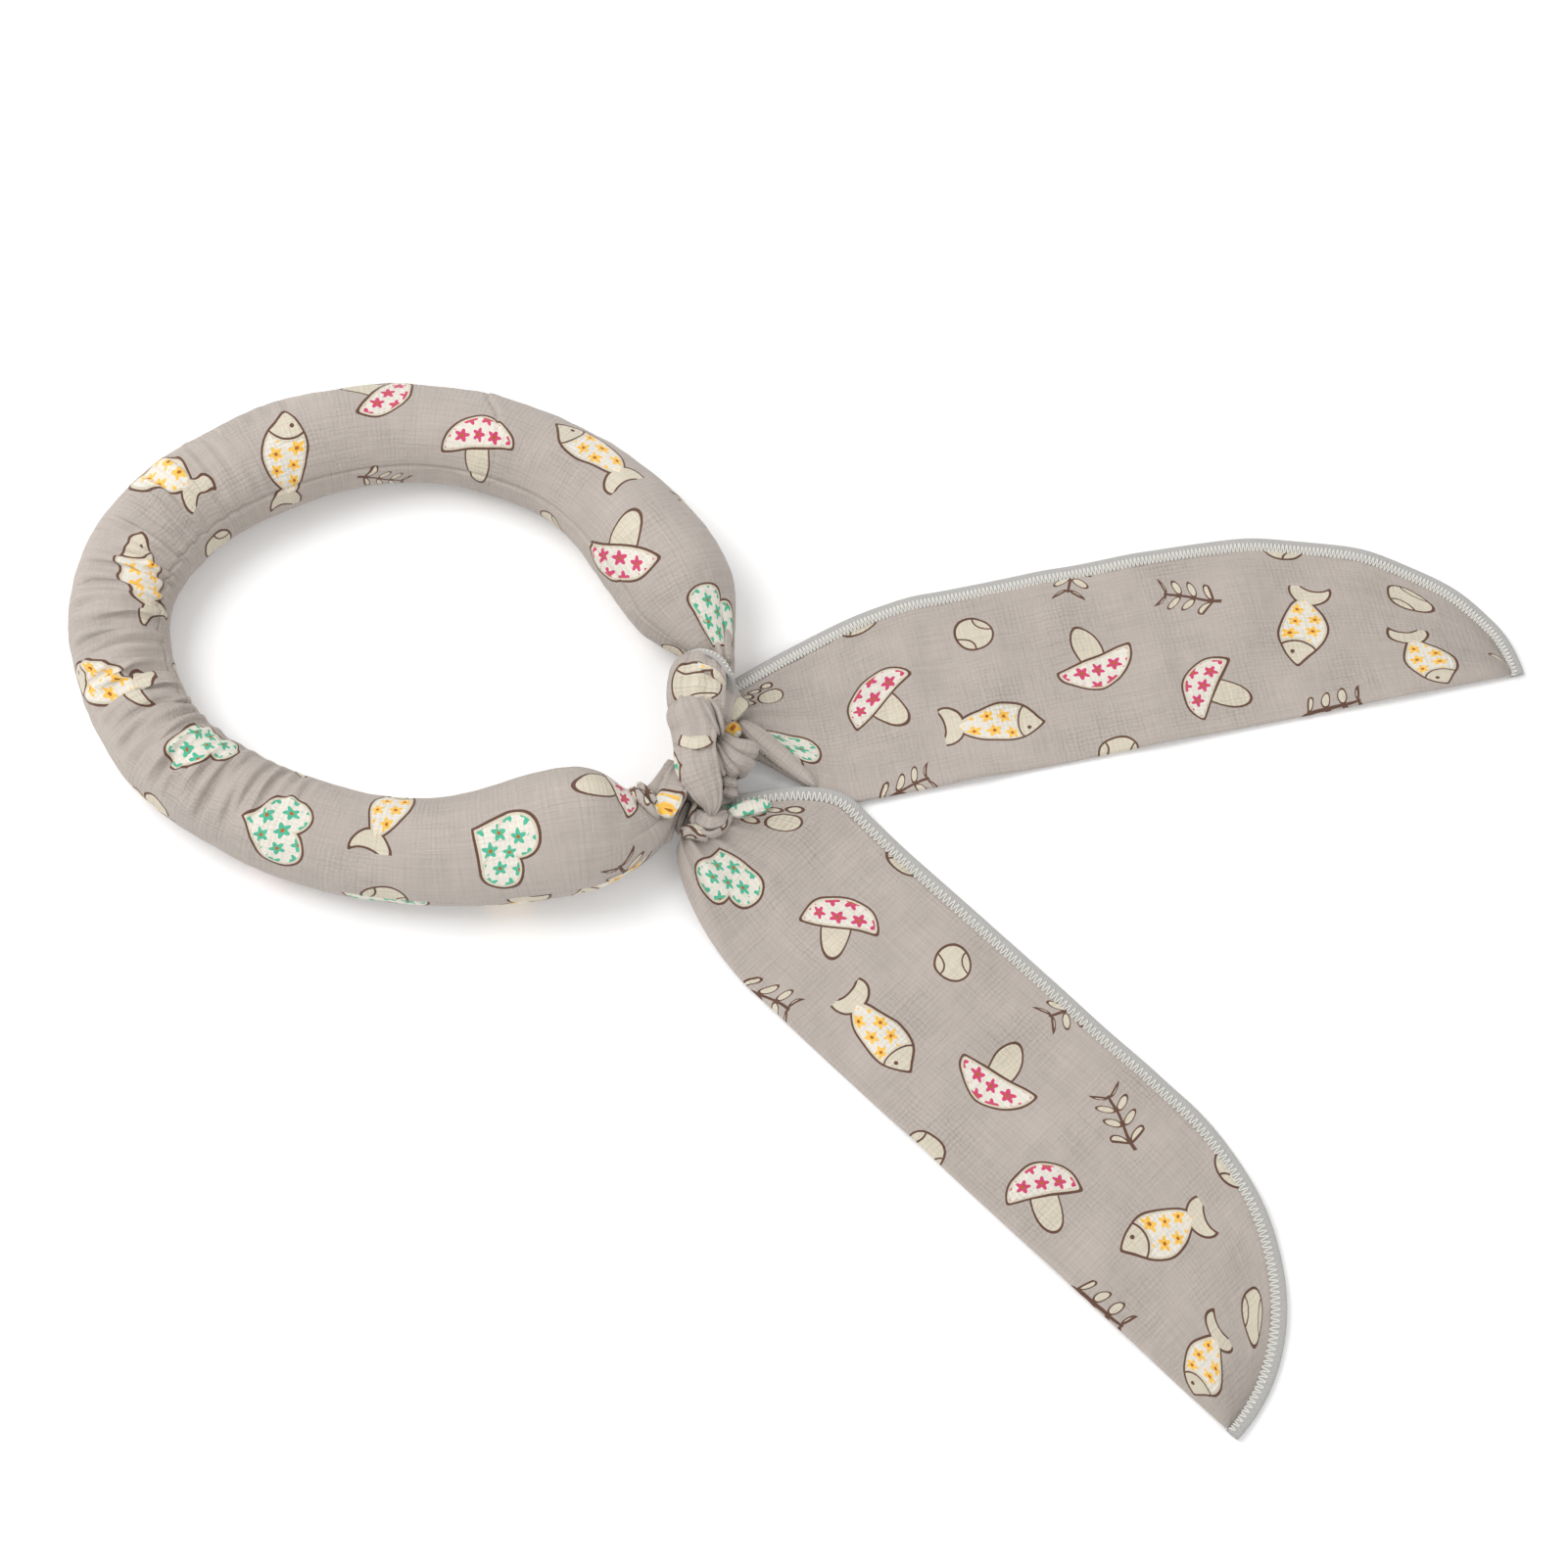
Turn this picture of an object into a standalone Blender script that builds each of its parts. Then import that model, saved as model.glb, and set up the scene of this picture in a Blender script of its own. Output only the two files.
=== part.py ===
"""Pet cooling neck wrap: a folded cotton strip, stuffed to a roll in its middle stretch and tied once.

It lies flat on a table. The roll makes the ring for the neck, and the two ends leave the knot as flat,
curved-tipped tails with an overlocked edge. Lengths are in metres and +Z is up. Positions are worked
out from the knot's centre on the table, and at the end everything moves so that the middle of the
footprint is at the origin.
"""

import bpy
import bmesh
import numpy as np
from mathutils import Vector

# The roll. Its length and width are measured along its centre line, from the knot's centre.
RING_LENGTH = 0.1825
RING_WIDTH = 0.1436
ROLL_DIAMETER = 0.0315
BULGE_DIAMETER = 0.0385
NECK_DIAMETER = 0.0125
ROLL_SINK = 0.0022

# The strip, folded flat, with its overlocked edge.
STRIP_WIDTH = 0.0655
TAIL_THICKNESS = 0.0022
UPPER_TAIL_LENGTH = 0.249
LOWER_TAIL_LENGTH = 0.242
HEM_WIDTH = 0.0044
HEM_THICKNESS = 0.0028

# The knot, and the gathered roots of the tails that leave it.
KNOT_LENGTH = 0.052
KNOT_WIDTH = 0.029
KNOT_HEIGHT = 0.029
WRAP_THICKNESS = 0.0062
STRAND_THICKNESS = 0.0165
TUCK_THICKNESS = 0.0095
ROOT_WIDTH = 0.020
ROOT_THICKNESS = 0.0080
ROOT_HEIGHT = 0.0032
PLEAT_HEIGHT = 0.0008

# Room left between pieces that touch, and between a tail and its overlocked edge.
GAP = 0.0003
SEAM_GAP = 0.0005

CLOTH_COLOUR = (0.48, 0.43, 0.39)
THREAD_COLOUR = (0.78, 0.75, 0.70)
CLOTH_ROUGHNESS = 0.95

# The roll's centre line, from the upper neck round to the lower one.
# Columns: x in ring lengths, y in ring widths, swell from the roll's diameter (0) to the bulge's (1).
ROLL_BODY = [
    (-0.043, 0.329, 0.29),
    (-0.068, 0.388, 0.67),
    (-0.129, 0.499, 0.46),
    (-0.200, 0.599, 0.08),
    (-0.284, 0.674, -0.08),
    (-0.378, 0.724, -0.12),
    (-0.525, 0.752, -0.04),
    (-0.670, 0.726, 0.17),
    (-0.807, 0.653, 0.25),
    (-0.923, 0.533, 0.21),
    (-0.984, 0.415, 0.08),
    (-1.000, 0.295, -0.08),
    (-0.978, 0.154, -0.29),
    (-0.934, 0.039, -0.33),
    (-0.864, -0.058, -0.21),
    (-0.739, -0.161, -0.08),
    (-0.602, -0.224, -0.04),
    (-0.462, -0.248, 0.08),
    (-0.368, -0.242, 0.37),
    (-0.276, -0.222, 0.92),
    (-0.230, -0.211, 1.00),
    (-0.183, -0.200, 0.58),
]

# The gathered necks between the roll and the knot.
# Columns: x in knot widths, y in knot lengths, height in knot heights, diameter in neck diameters.
UPPER_NECK = [
    (0.070, 0.350, 0.50, 0.70),
    (0.085, 0.480, 0.50, 0.84),
    (0.010, 0.600, 0.50, 1.28),
]
LOWER_NECK = [
    (-0.640, -0.430, 0.50, 1.60),
    (-0.490, -0.310, 0.50, 1.24),
    (-0.320, -0.150, 0.49, 1.02),
]

# Dents where two lengths of the strip are joined and where the roll bends.
# Columns: place as a share of the way from the upper neck, depth and length in roll diameters, and
# whether only the ring's inner side is dented (1) or all round (0).
DENTS = [
    (0.228, 0.030, 0.14, 0),
    (0.330, 0.022, 0.16, 1),
    (0.385, 0.030, 0.16, 1),
    (0.440, 0.026, 0.15, 1),
    (0.485, 0.034, 0.15, 1),
    (0.520, 0.040, 0.14, 1),
    (0.552, 0.044, 0.14, 1),
    (0.585, 0.044, 0.14, 1),
    (0.618, 0.036, 0.14, 1),
    (0.655, 0.026, 0.16, 1),
]

# The knot's strands.
# Columns: x in knot widths, y in knot lengths, height in knot heights, width in knot widths,
# thickness in the strand's own thickness.
# The wrap comes from behind the knot's top, over it and down its front to the tongue's tip.
WRAP = [
    (0.060, 0.330, 0.20, 0.36, 0.80),
    (-0.030, 0.450, 0.30, 0.42, 0.90),
    (-0.090, 0.490, 0.52, 0.46, 0.95),
    (-0.150, 0.390, 0.78, 0.54, 1.00),
    (-0.185, 0.200, 0.89, 0.58, 1.00),
    (-0.165, 0.000, 0.90, 0.52, 1.00),
    (-0.140, -0.110, 0.88, 0.44, 1.00),
    (-0.100, -0.270, 0.77, 0.50, 1.00),
    (-0.040, -0.390, 0.58, 0.36, 0.85),
    (-0.010, -0.450, 0.42, 0.20, 0.60),
]
# The bulge is the strand that runs under the wrap and swells out at its right.
BULGE = [
    (-0.330, -0.020, 0.42, 0.36, 0.66),
    (-0.200, -0.050, 0.43, 0.52, 0.88),
    (-0.020, -0.085, 0.44, 0.60, 0.98),
    (0.150, -0.110, 0.46, 0.62, 1.02),
    (0.290, -0.115, 0.46, 0.58, 1.00),
    (0.400, -0.100, 0.45, 0.46, 0.80),
    (0.470, -0.085, 0.44, 0.20, 0.40),
]
# The tuck is the rolled fold at the knot's foot, where the lower tail begins.
TUCK = [
    (-0.350, -0.440, 0.26, 0.24, 0.70),
    (-0.230, -0.470, 0.28, 0.34, 1.00),
    (-0.020, -0.465, 0.29, 0.35, 1.00),
    (0.170, -0.410, 0.27, 0.28, 0.85),
    (0.330, -0.360, 0.24, 0.16, 0.60),
]

# The tails. Root x is in knot widths and root y in knot lengths; heading is in degrees from +X.
# The centre is the root's place across the strip. A fan is the length, in strip widths, over which
# an edge spreads from the gathered root, and its ease is how slowly that spread begins. The tip is
# the curved end's length in strip widths.
TAILS = {
    "upper": {
        "root": (0.06, 0.180), "heading": 12.0, "length": UPPER_TAIL_LENGTH, "centre": 0.49,
        "fold_fan": 0.58, "fold_ease": 1.9, "hem_fan": 1.12, "hem_ease": 1.05, "tip": 1.50,
    },
    "lower": {
        "root": (-0.07, -0.430), "heading": -44.5, "length": LOWER_TAIL_LENGTH, "centre": 0.42,
        "fold_fan": 0.75, "fold_ease": 0.6, "hem_fan": 0.43, "hem_ease": 1.0, "tip": 1.22,
    },
}
# How far from the root, in strip widths, a tail comes down to the table and its gathers flatten.
TAIL_DROP = 0.85
GATHER_FADE = 0.55

# How finely each surface is divided.
ROLL_STATIONS = 132
ROLL_POINTS = 20
STRAND_STATIONS = 20
STRAND_POINTS = 20
TAIL_STATIONS = 36
TAIL_COLUMNS = 11
HEM_STATIONS = 50
HEM_POINTS = 8
PLEATS = 5
TAIL_PLEATS = 3


def spline(rows, count, crowding=0.0):
    """Rows of numbers read along one smooth curve, a natural cubic through every row.

    The curve runs by the length between rows. Samples are at even steps of that length, or crowded
    towards its two ends.
    """
    rows = np.array(rows, float)
    steps = np.linalg.norm(np.diff(rows[:, :3], axis=0), axis=1)
    at = np.concatenate([[0.0], np.cumsum(steps)]) / steps.sum()
    gaps = np.diff(at)
    slopes = np.diff(rows, axis=0) / gaps[:, None]
    last = len(rows) - 1
    system = np.eye(len(rows))
    right = np.zeros_like(rows)
    for i in range(1, last):
        system[i, i - 1 : i + 2] = gaps[i - 1], 2 * (gaps[i - 1] + gaps[i]), gaps[i]
        right[i] = 6 * (slopes[i] - slopes[i - 1])
    bend = np.linalg.solve(system, right)
    wanted = np.linspace(0, 1, count)
    wanted = wanted - crowding * np.sin(2 * np.pi * wanted)
    k = np.clip(np.searchsorted(at, wanted) - 1, 0, last - 1)
    before = (wanted - at[k])[:, None]
    after = (at[k + 1] - wanted)[:, None]
    gap = gaps[k][:, None]
    return (
        (bend[k] * after**3 + bend[k + 1] * before**3) / (6 * gap)
        + (rows[k] / gap - bend[k] * gap / 6) * after
        + (rows[k + 1] / gap - bend[k + 1] * gap / 6) * before
    )


def smooth_step(x):
    x = np.clip(x, 0, 1)
    return x * x * (3 - 2 * x)


def distance_along(line):
    """How far each point of a line is from its first one, along the line."""
    steps = np.linalg.norm(np.diff(line, axis=0), axis=1)
    return np.concatenate([[0.0], np.cumsum(steps)])


def turns(points):
    """Angles of the points round a section: none is straight up or down, so its underside is flat."""
    return (np.arange(points) + 0.5) * 2 * np.pi / points


def sections(path, up, width, thickness, points, pleat_depth=0.0, squareness=2.0, grow=0.0):
    """Rings of points across a path: superellipses, whose rim is drawn in by pleats.

    The pleat depth is a share of the radius, one for all rings or one for each.
    """
    tangent = np.gradient(path, axis=0)
    tangent /= np.linalg.norm(tangent, axis=1, keepdims=True)
    outward = up - (up * tangent).sum(axis=1, keepdims=True) * tangent
    outward /= np.linalg.norm(outward, axis=1, keepdims=True)
    side = np.cross(tangent, outward)
    turn = turns(points)
    across = np.sign(np.cos(turn)) * np.abs(np.cos(turn)) ** (2 / squareness)
    over = np.sign(np.sin(turn)) * np.abs(np.sin(turn)) ** (2 / squareness)
    across /= across.max()
    over /= over.max()
    pleat_depth = np.broadcast_to(pleat_depth, len(path))
    draw = 1 - pleat_depth[:, None] * (0.5 - 0.5 * np.cos(PLEATS * turn))
    half_width = (width[:, None] / 2) * draw + grow
    half_thickness = (thickness[:, None] / 2) * draw + grow
    return (
        path[:, None, :]
        + side[:, None, :] * (half_width * across)[..., None]
        + outward[:, None, :] * (half_thickness * over)[..., None]
    )


def loft(name, rings):
    """A closed solid through rings of one even count of points, with a strip of quads over each end."""
    stations, points = rings.shape[:2]
    made = bmesh.new()
    verts = [made.verts.new(p) for p in rings.reshape(-1, 3)]
    for i in range(stations - 1):
        for j in range(points):
            k = (j + 1) % points
            a, b = i * points, (i + 1) * points
            made.faces.new((verts[a + j], verts[a + k], verts[b + k], verts[b + j]))
    for first in (0, (stations - 1) * points):
        for j in range(points // 2 - 1):
            far = points - 1 - j
            made.faces.new([verts[first + k] for k in (j, j + 1, far - 1, far)])
    bmesh.ops.recalc_face_normals(made, faces=made.faces)
    mesh = bpy.data.meshes.new(name)
    made.to_mesh(mesh)
    made.free()
    mesh.shade_smooth()
    mesh.set_sharp_from_angle(angle=np.radians(50))
    obj = bpy.data.objects.new(name, mesh)
    bpy.context.scene.collection.objects.link(obj)
    return obj


def in_knot(row):
    """A table row's first three shares as a place in the knot."""
    return row[0] * KNOT_WIDTH, row[1] * KNOT_LENGTH, row[2] * KNOT_HEIGHT


def roll_rings(grow=0.0):
    """Round sections along the ring, drawn in by pleats at the necks and flat where they rest."""
    rows = [(*in_knot(row), row[3] * NECK_DIAMETER, 1.0) for row in UPPER_NECK]
    for x, y, swell in ROLL_BODY:
        diameter = ROLL_DIAMETER + swell * (BULGE_DIAMETER - ROLL_DIAMETER)
        rows.append((x * RING_LENGTH, y * RING_WIDTH, diameter / 2 - ROLL_SINK, diameter, 0.0))
    rows += [(*in_knot(row), row[3] * NECK_DIAMETER, 1.0) for row in LOWER_NECK]
    read = spline(rows, ROLL_STATIONS, crowding=0.02)
    path, diameter, neck = read[:, :3], read[:, 3], np.clip(read[:, 4], 0, 1)
    slump = 0.06 * (1 - neck)
    rings = sections(path, np.array([[0.0, 0.0, 1.0]]), diameter, diameter * (1 - slump),
                     ROLL_POINTS, pleat_depth=0.16 * neck, grow=grow)
    rings = dented(rings, path)
    rings[..., 2] = np.maximum(rings[..., 2], -grow)
    return rings


def dented(rings, path):
    """Draws the surface towards the centre line in narrow bell curves, one for each dent."""
    along = distance_along(path)
    inner = 0.5 - 0.5 * np.cos(turns(rings.shape[1]))
    out = rings - path[:, None, :]
    out /= np.linalg.norm(out, axis=2, keepdims=True)
    for place, depth, length, inner_only in DENTS:
        bell = np.exp(-(((along - place * along[-1]) / (length * ROLL_DIAMETER)) ** 2))
        rim = inner if inner_only else np.ones_like(inner)
        rings = rings - out * (depth * ROLL_DIAMETER * bell[:, None] * rim)[..., None]
    return rings


def strand(rows, thickness):
    """A strand's centre line, widths and thicknesses, read from its table."""
    rows = [(*in_knot(row), row[3] * KNOT_WIDTH, row[4] * thickness) for row in rows]
    read = spline(rows, STRAND_STATIONS)
    return read[:, :3], read[:, 3], read[:, 4]


def wrap_rings(grow=0.0):
    """The wrap's flat side faces the knot's middle all the way round."""
    path, width, thickness = strand(WRAP, WRAP_THICKNESS)
    middle = np.array([0.0, 0.0, 0.45 * KNOT_HEIGHT])
    away = (path - middle) * (0.3, 1, 1)
    ends = np.linspace(-1, 1, len(path))
    rounded = np.sqrt(np.clip(1 - ends**8, 0.12, 1))
    return sections(path, away, width * rounded, thickness * rounded, STRAND_POINTS,
                    pleat_depth=0.08, squareness=2.6, grow=grow)


def bulge_rings(grow=0.0):
    path, width, thickness = strand(BULGE, STRAND_THICKNESS)
    return sections(path, np.array([[0.0, 0.0, 1.0]]), width, thickness, STRAND_POINTS,
                    pleat_depth=0.10, grow=grow)


def tuck_rings(grow=0.0):
    path, width, thickness = strand(TUCK, TUCK_THICKNESS)
    return sections(path, np.array([[0.0, 0.0, 1.0]]), width, thickness, STRAND_POINTS // 2, grow=grow)


def spread(along, fan, ease):
    """From 0 at the root to 1 where the fan ends: a quarter sine wave to the power of its ease."""
    return np.sin(np.pi / 2 * np.clip(along / (fan * STRIP_WIDTH), 0, 1)) ** ease


def tail_edges(tail, count):
    """Fold and hem edges on the flat, as distances along and across the strip from the root.

    Each edge leaves the gathered root in its fan, and the hem comes in to the tip on a quarter
    ellipse.
    """
    along = tail["length"] * (1 - (1 - np.linspace(0, 1, count)) ** 1.25)
    root = ROOT_WIDTH / 2
    fold_side = tail["centre"] * STRIP_WIDTH
    hem_side = STRIP_WIDTH - fold_side
    fold = -(root + (fold_side - root) * spread(along, tail["fold_fan"], tail["fold_ease"]))
    hem = root + (hem_side - root) * spread(along, tail["hem_fan"], tail["hem_ease"])
    tip = tail["tip"] * STRIP_WIDTH
    into_tip = np.clip((along - (tail["length"] - tip)) / tip, 0, 1)
    hem = fold[-1] + (hem - fold[-1]) * np.sqrt(1 - into_tip**2)
    return along, fold, hem


def inset(line, distance):
    """A flat line moved square to itself, towards the fold."""
    tangent = np.gradient(line, axis=0)
    tangent /= np.linalg.norm(tangent, axis=1, keepdims=True)
    return line + distance * np.stack([tangent[:, 1], -tangent[:, 0]], 1)


def hem_line(tail):
    """The middle of the overlocked edge, in even steps from the root to the tip."""
    along, _, hem = tail_edges(tail, 6 * HEM_STATIONS)
    line = inset(np.stack([along, hem], 1), HEM_WIDTH / 2)
    at = distance_along(line)
    wanted = np.linspace(0, at[-1], HEM_STATIONS)
    return np.stack([np.interp(wanted, at, line[:, k]) for k in (0, 1)], 1)


def lie(along, share):
    """Thickness and underside of the cloth: a raised, pleated root that comes down to the table."""
    drop = 1 - smooth_step(along / (TAIL_DROP * STRIP_WIDTH))
    gather = 1 - smooth_step(along / (GATHER_FADE * STRIP_WIDTH))
    pleat = PLEAT_HEIGHT * np.cos(2 * np.pi * TAIL_PLEATS * share)
    return TAIL_THICKNESS + (ROOT_THICKNESS - TAIL_THICKNESS) * gather, (ROOT_HEIGHT + pleat) * drop


def on_table(tail, along, across, height):
    """Strip distances turned to the tail's heading and moved to its root on the knot."""
    turn = np.radians(tail["heading"])
    x = tail["root"][0] * KNOT_WIDTH + along * np.cos(turn) - across * np.sin(turn)
    y = tail["root"][1] * KNOT_LENGTH + along * np.sin(turn) + across * np.cos(turn)
    return np.stack(np.broadcast_arrays(x, y, height), -1)


def tail_rings(tail, grow=0.0):
    """Thin closed sections from the fold to the seam with the hem, flat underneath."""
    along, fold, _ = tail_edges(tail, 4 * TAIL_STATIONS)
    seam = inset(hem_line(tail), HEM_WIDTH / 2 + SEAM_GAP)
    stations = seam[-1, 0] * (1 - (1 - np.linspace(0, 1, TAIL_STATIONS)) ** 1.15)
    outer = np.interp(stations, along, fold)
    inner = np.interp(stations, seam[:, 0], seam[:, 1])
    inner = np.maximum(inner, outer + 2 * TAIL_THICKNESS)
    share = np.linspace(0, 1, TAIL_COLUMNS)
    across = outer[:, None] + (inner - outer)[:, None] * share
    thick, base = lie(stations[:, None], share)
    edge = np.minimum(across - outer[:, None], inner[:, None] - across)
    rounding = np.clip(0.35 + edge / TAIL_THICKNESS, 0, 1)
    across = across + grow * np.linspace(-1, 1, TAIL_COLUMNS)
    top = on_table(tail, stations[:, None], across, base + thick * (0.5 + 0.5 * rounding) + grow)
    bottom = on_table(tail, stations[:, None], across, base - grow)
    return np.concatenate([bottom, top[:, ::-1]], axis=1)


def hem_rings(tail, grow=0.0):
    """The overlocked edge: a low rounded bead from just off the knot out to the tip."""
    along, across = hem_line(tail)[1:].T
    thick, base = lie(along, 1.0)
    path = on_table(tail, along, across, base + np.maximum(thick, HEM_THICKNESS) / 2)
    width = np.full(len(path), HEM_WIDTH)
    thickness = np.full(len(path), HEM_THICKNESS)
    return sections(path, np.array([[0.0, 0.0, 1.0]]), width, thickness, HEM_POINTS,
                    squareness=3.0, grow=grow)


def room(name, rings):
    """A hidden solid, a gap larger than a piece, that keeps its neighbours clear of it."""
    obj = loft("room_for_" + name, rings)
    obj.hide_render = True
    obj.display_type = "WIRE"
    return obj


def keep_clear(obj, rooms):
    """Takes each room out of a solid."""
    for other in rooms:
        boolean = obj.modifiers.new(other.name, "BOOLEAN")
        boolean.operation = "DIFFERENCE"
        boolean.object = other


def finish(obj, colour):
    """A plain cloth or thread finish."""
    material = bpy.data.materials.new(obj.name)
    material.use_nodes = True
    shader = material.node_tree.nodes["Principled BSDF"]
    shader.inputs["Base Color"].default_value = (*colour, 1)
    shader.inputs["Roughness"].default_value = CLOTH_ROUGHNESS
    shader.inputs["Metallic"].default_value = 0.0
    obj.data.materials.append(material)


def centre_on_table(parts, others):
    """Moves everything so that the footprint's middle is at the origin and the lowest point at z = 0."""
    points = np.array([v.co for obj in parts for v in obj.data.vertices])
    low, high = points.min(axis=0), points.max(axis=0)
    shift = Vector((-(low[0] + high[0]) / 2, -(low[1] + high[1]) / 2, -low[2]))
    for obj in [*parts, *others]:
        for vertex in obj.data.vertices:
            vertex.co += shift


def build():
    for obj in list(bpy.data.objects):
        bpy.data.objects.remove(obj, do_unlink=True)
    upper, lower = TAILS["upper"], TAILS["lower"]
    rooms = {
        "wrap": room("wrap", wrap_rings(GAP)),
        "bulge": room("bulge", bulge_rings(GAP)),
        "tuck": room("tuck", tuck_rings(GAP)),
        "roll": room("roll", roll_rings(GAP)),
        "lower_tail": room("lower_tail", tail_rings(lower, GAP)),
        "lower_hem": room("lower_hem", hem_rings(lower, GAP)),
    }
    # Columns: rings, colour, and the pieces that this one gives way to.
    pieces = {
        "knot_wrap": (wrap_rings(), CLOTH_COLOUR, ()),
        "knot_tuck": (tuck_rings(), CLOTH_COLOUR, ("wrap",)),
        "knot_bulge": (bulge_rings(), CLOTH_COLOUR, ("wrap", "tuck")),
        "padded_roll": (roll_rings(), CLOTH_COLOUR, ("wrap", "bulge", "tuck")),
        "tail_upper": (tail_rings(upper), CLOTH_COLOUR, ("wrap", "bulge", "roll", "lower_tail", "lower_hem")),
        "tail_lower": (tail_rings(lower), CLOTH_COLOUR, ("wrap", "bulge", "tuck", "roll")),
        "hem_upper": (hem_rings(upper), THREAD_COLOUR, ()),
        "hem_lower": (hem_rings(lower), THREAD_COLOUR, ()),
    }
    made = []
    for name, (rings, colour, neighbours) in pieces.items():
        obj = loft(name, rings)
        keep_clear(obj, [rooms[key] for key in neighbours])
        finish(obj, colour)
        made.append(obj)
    centre_on_table(made, rooms.values())


build()
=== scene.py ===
# %% [markdown]
# # A pet cooling neck wrap
#
# The real thing is one strip of printed cotton gauze, folded along its length and overlocked down its
# open side. Its middle stretch is stuffed to a soft roll, and the strip is tied once, so that the roll
# is a ring for the neck and the two flat ends hang free. It could be modelled as one sheet that is
# simulated until it is knotted, but that is slow and never lands twice in the same place. Here each
# stretch is a surface worked out with numpy on the packed model, and only the roll is simulated.

import bpy
import numpy as np
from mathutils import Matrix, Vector


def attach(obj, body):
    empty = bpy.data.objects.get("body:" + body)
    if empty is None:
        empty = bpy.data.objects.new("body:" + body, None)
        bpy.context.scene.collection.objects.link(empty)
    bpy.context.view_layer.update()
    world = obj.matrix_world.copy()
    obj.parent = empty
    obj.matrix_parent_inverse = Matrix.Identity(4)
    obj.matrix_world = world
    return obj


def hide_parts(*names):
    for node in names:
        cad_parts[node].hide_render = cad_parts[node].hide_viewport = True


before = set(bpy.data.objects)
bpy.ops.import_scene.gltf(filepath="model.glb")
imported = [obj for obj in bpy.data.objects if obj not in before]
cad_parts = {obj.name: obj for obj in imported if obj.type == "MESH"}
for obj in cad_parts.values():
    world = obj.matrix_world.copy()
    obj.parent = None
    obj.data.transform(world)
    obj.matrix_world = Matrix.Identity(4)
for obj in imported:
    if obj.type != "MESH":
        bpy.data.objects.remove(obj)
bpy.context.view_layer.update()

print("packed nodes:", sorted(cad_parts))

# %% [markdown]
# ## Sizes
#
# Everything is in metres. The few driving sizes are those of the packed model, and shares of them
# place the rest. KNOT is where the knot's centre stands on the table, and most tables count from there.

# %% Driving sizes
MM = 0.001

KNOT = np.array([-26.53, 44.17, 0.0]) * MM
RING_LENGTH = 182.5 * MM
RING_WIDTH = 143.6 * MM
ROLL_DIAMETER = 31.5 * MM
BULGE_DIAMETER = 38.5 * MM
NECK_DIAMETER = 12.5 * MM
ROLL_SINK = 2.2 * MM
STRIP_WIDTH = 65.5 * MM
UPPER_TAIL_LENGTH = 249 * MM
LOWER_TAIL_LENGTH = 242 * MM
HEM_WIDTH = 4.4 * MM
KNOT_LENGTH = 52 * MM
KNOT_WIDTH = 29 * MM
KNOT_HEIGHT = 29 * MM

print("the strip is", round(2 * STRIP_WIDTH / MM), "mm wide before it is folded")

# %% [markdown]
# ## Camera, light and table
#
# The photo looks down at 66 degrees from a little over a metre, and one of its pixels covers 0.30 mm at
# the middle of the view. The light is a white room with one broad lamp from the upper left, which
# keeps the shading soft, as in the photo.

# %% Camera, light and table
PHOTO_SIDE = 1601
PIXEL = 0.30 * MM
CAMERA_DISTANCE = 1.15
CAMERA_ELEVATION = np.radians(66)
VIEW_CENTRE = KNOT + np.array([22.5, -7.2, 0.0]) * MM
# Columns: the lamp's name, its place, the side of its square, and its watts.
LAMPS = [
    ("key_lamp", (-0.9, 0.30, 1.3), 1.0, 15.3),
    ("fill_lamp", (0.9, -0.8, 1.2), 1.2, 4.0),
]
ROOM_LIGHT = 0.72
TABLE_HALF = 3.0
TABLE_DROP = 0.3 * MM
TABLE_GREY = 0.92
TABLE_GLOW = 0.08


def add_camera():
    """A camera that looks along +Y and down, framed so that one pixel covers PIXEL at the view's centre."""
    camera = bpy.data.objects.new("camera", bpy.data.cameras.new("camera"))
    back = np.array([0.0, -np.cos(CAMERA_ELEVATION), np.sin(CAMERA_ELEVATION)])
    camera.location = VIEW_CENTRE + CAMERA_DISTANCE * back
    camera.rotation_euler = (np.pi / 2 - CAMERA_ELEVATION, 0, 0)
    camera.data.angle = 2 * np.arctan(PHOTO_SIDE * PIXEL / 2 / CAMERA_DISTANCE)
    bpy.context.scene.collection.objects.link(camera)
    bpy.context.scene.camera = camera


def add_lamp(name, place, size, watts):
    """A square lamp at a place, turned to the middle of the view."""
    lamp = bpy.data.objects.new(name, bpy.data.lights.new(name, "AREA"))
    lamp.data.size = size
    lamp.data.energy = watts
    lamp.location = place
    towards = Vector(VIEW_CENTRE) - Vector(place)
    lamp.rotation_euler = towards.to_track_quat("-Z", "Y").to_euler()
    bpy.context.scene.collection.objects.link(lamp)


def add_room(strength):
    """A plain white room all round."""
    world = bpy.data.worlds.new("room")
    world.use_nodes = True
    world.node_tree.nodes["Background"].inputs["Color"].default_value = (1.0, 1.0, 1.0, 1.0)
    world.node_tree.nodes["Background"].inputs["Strength"].default_value = strength
    bpy.context.scene.world = world


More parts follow.
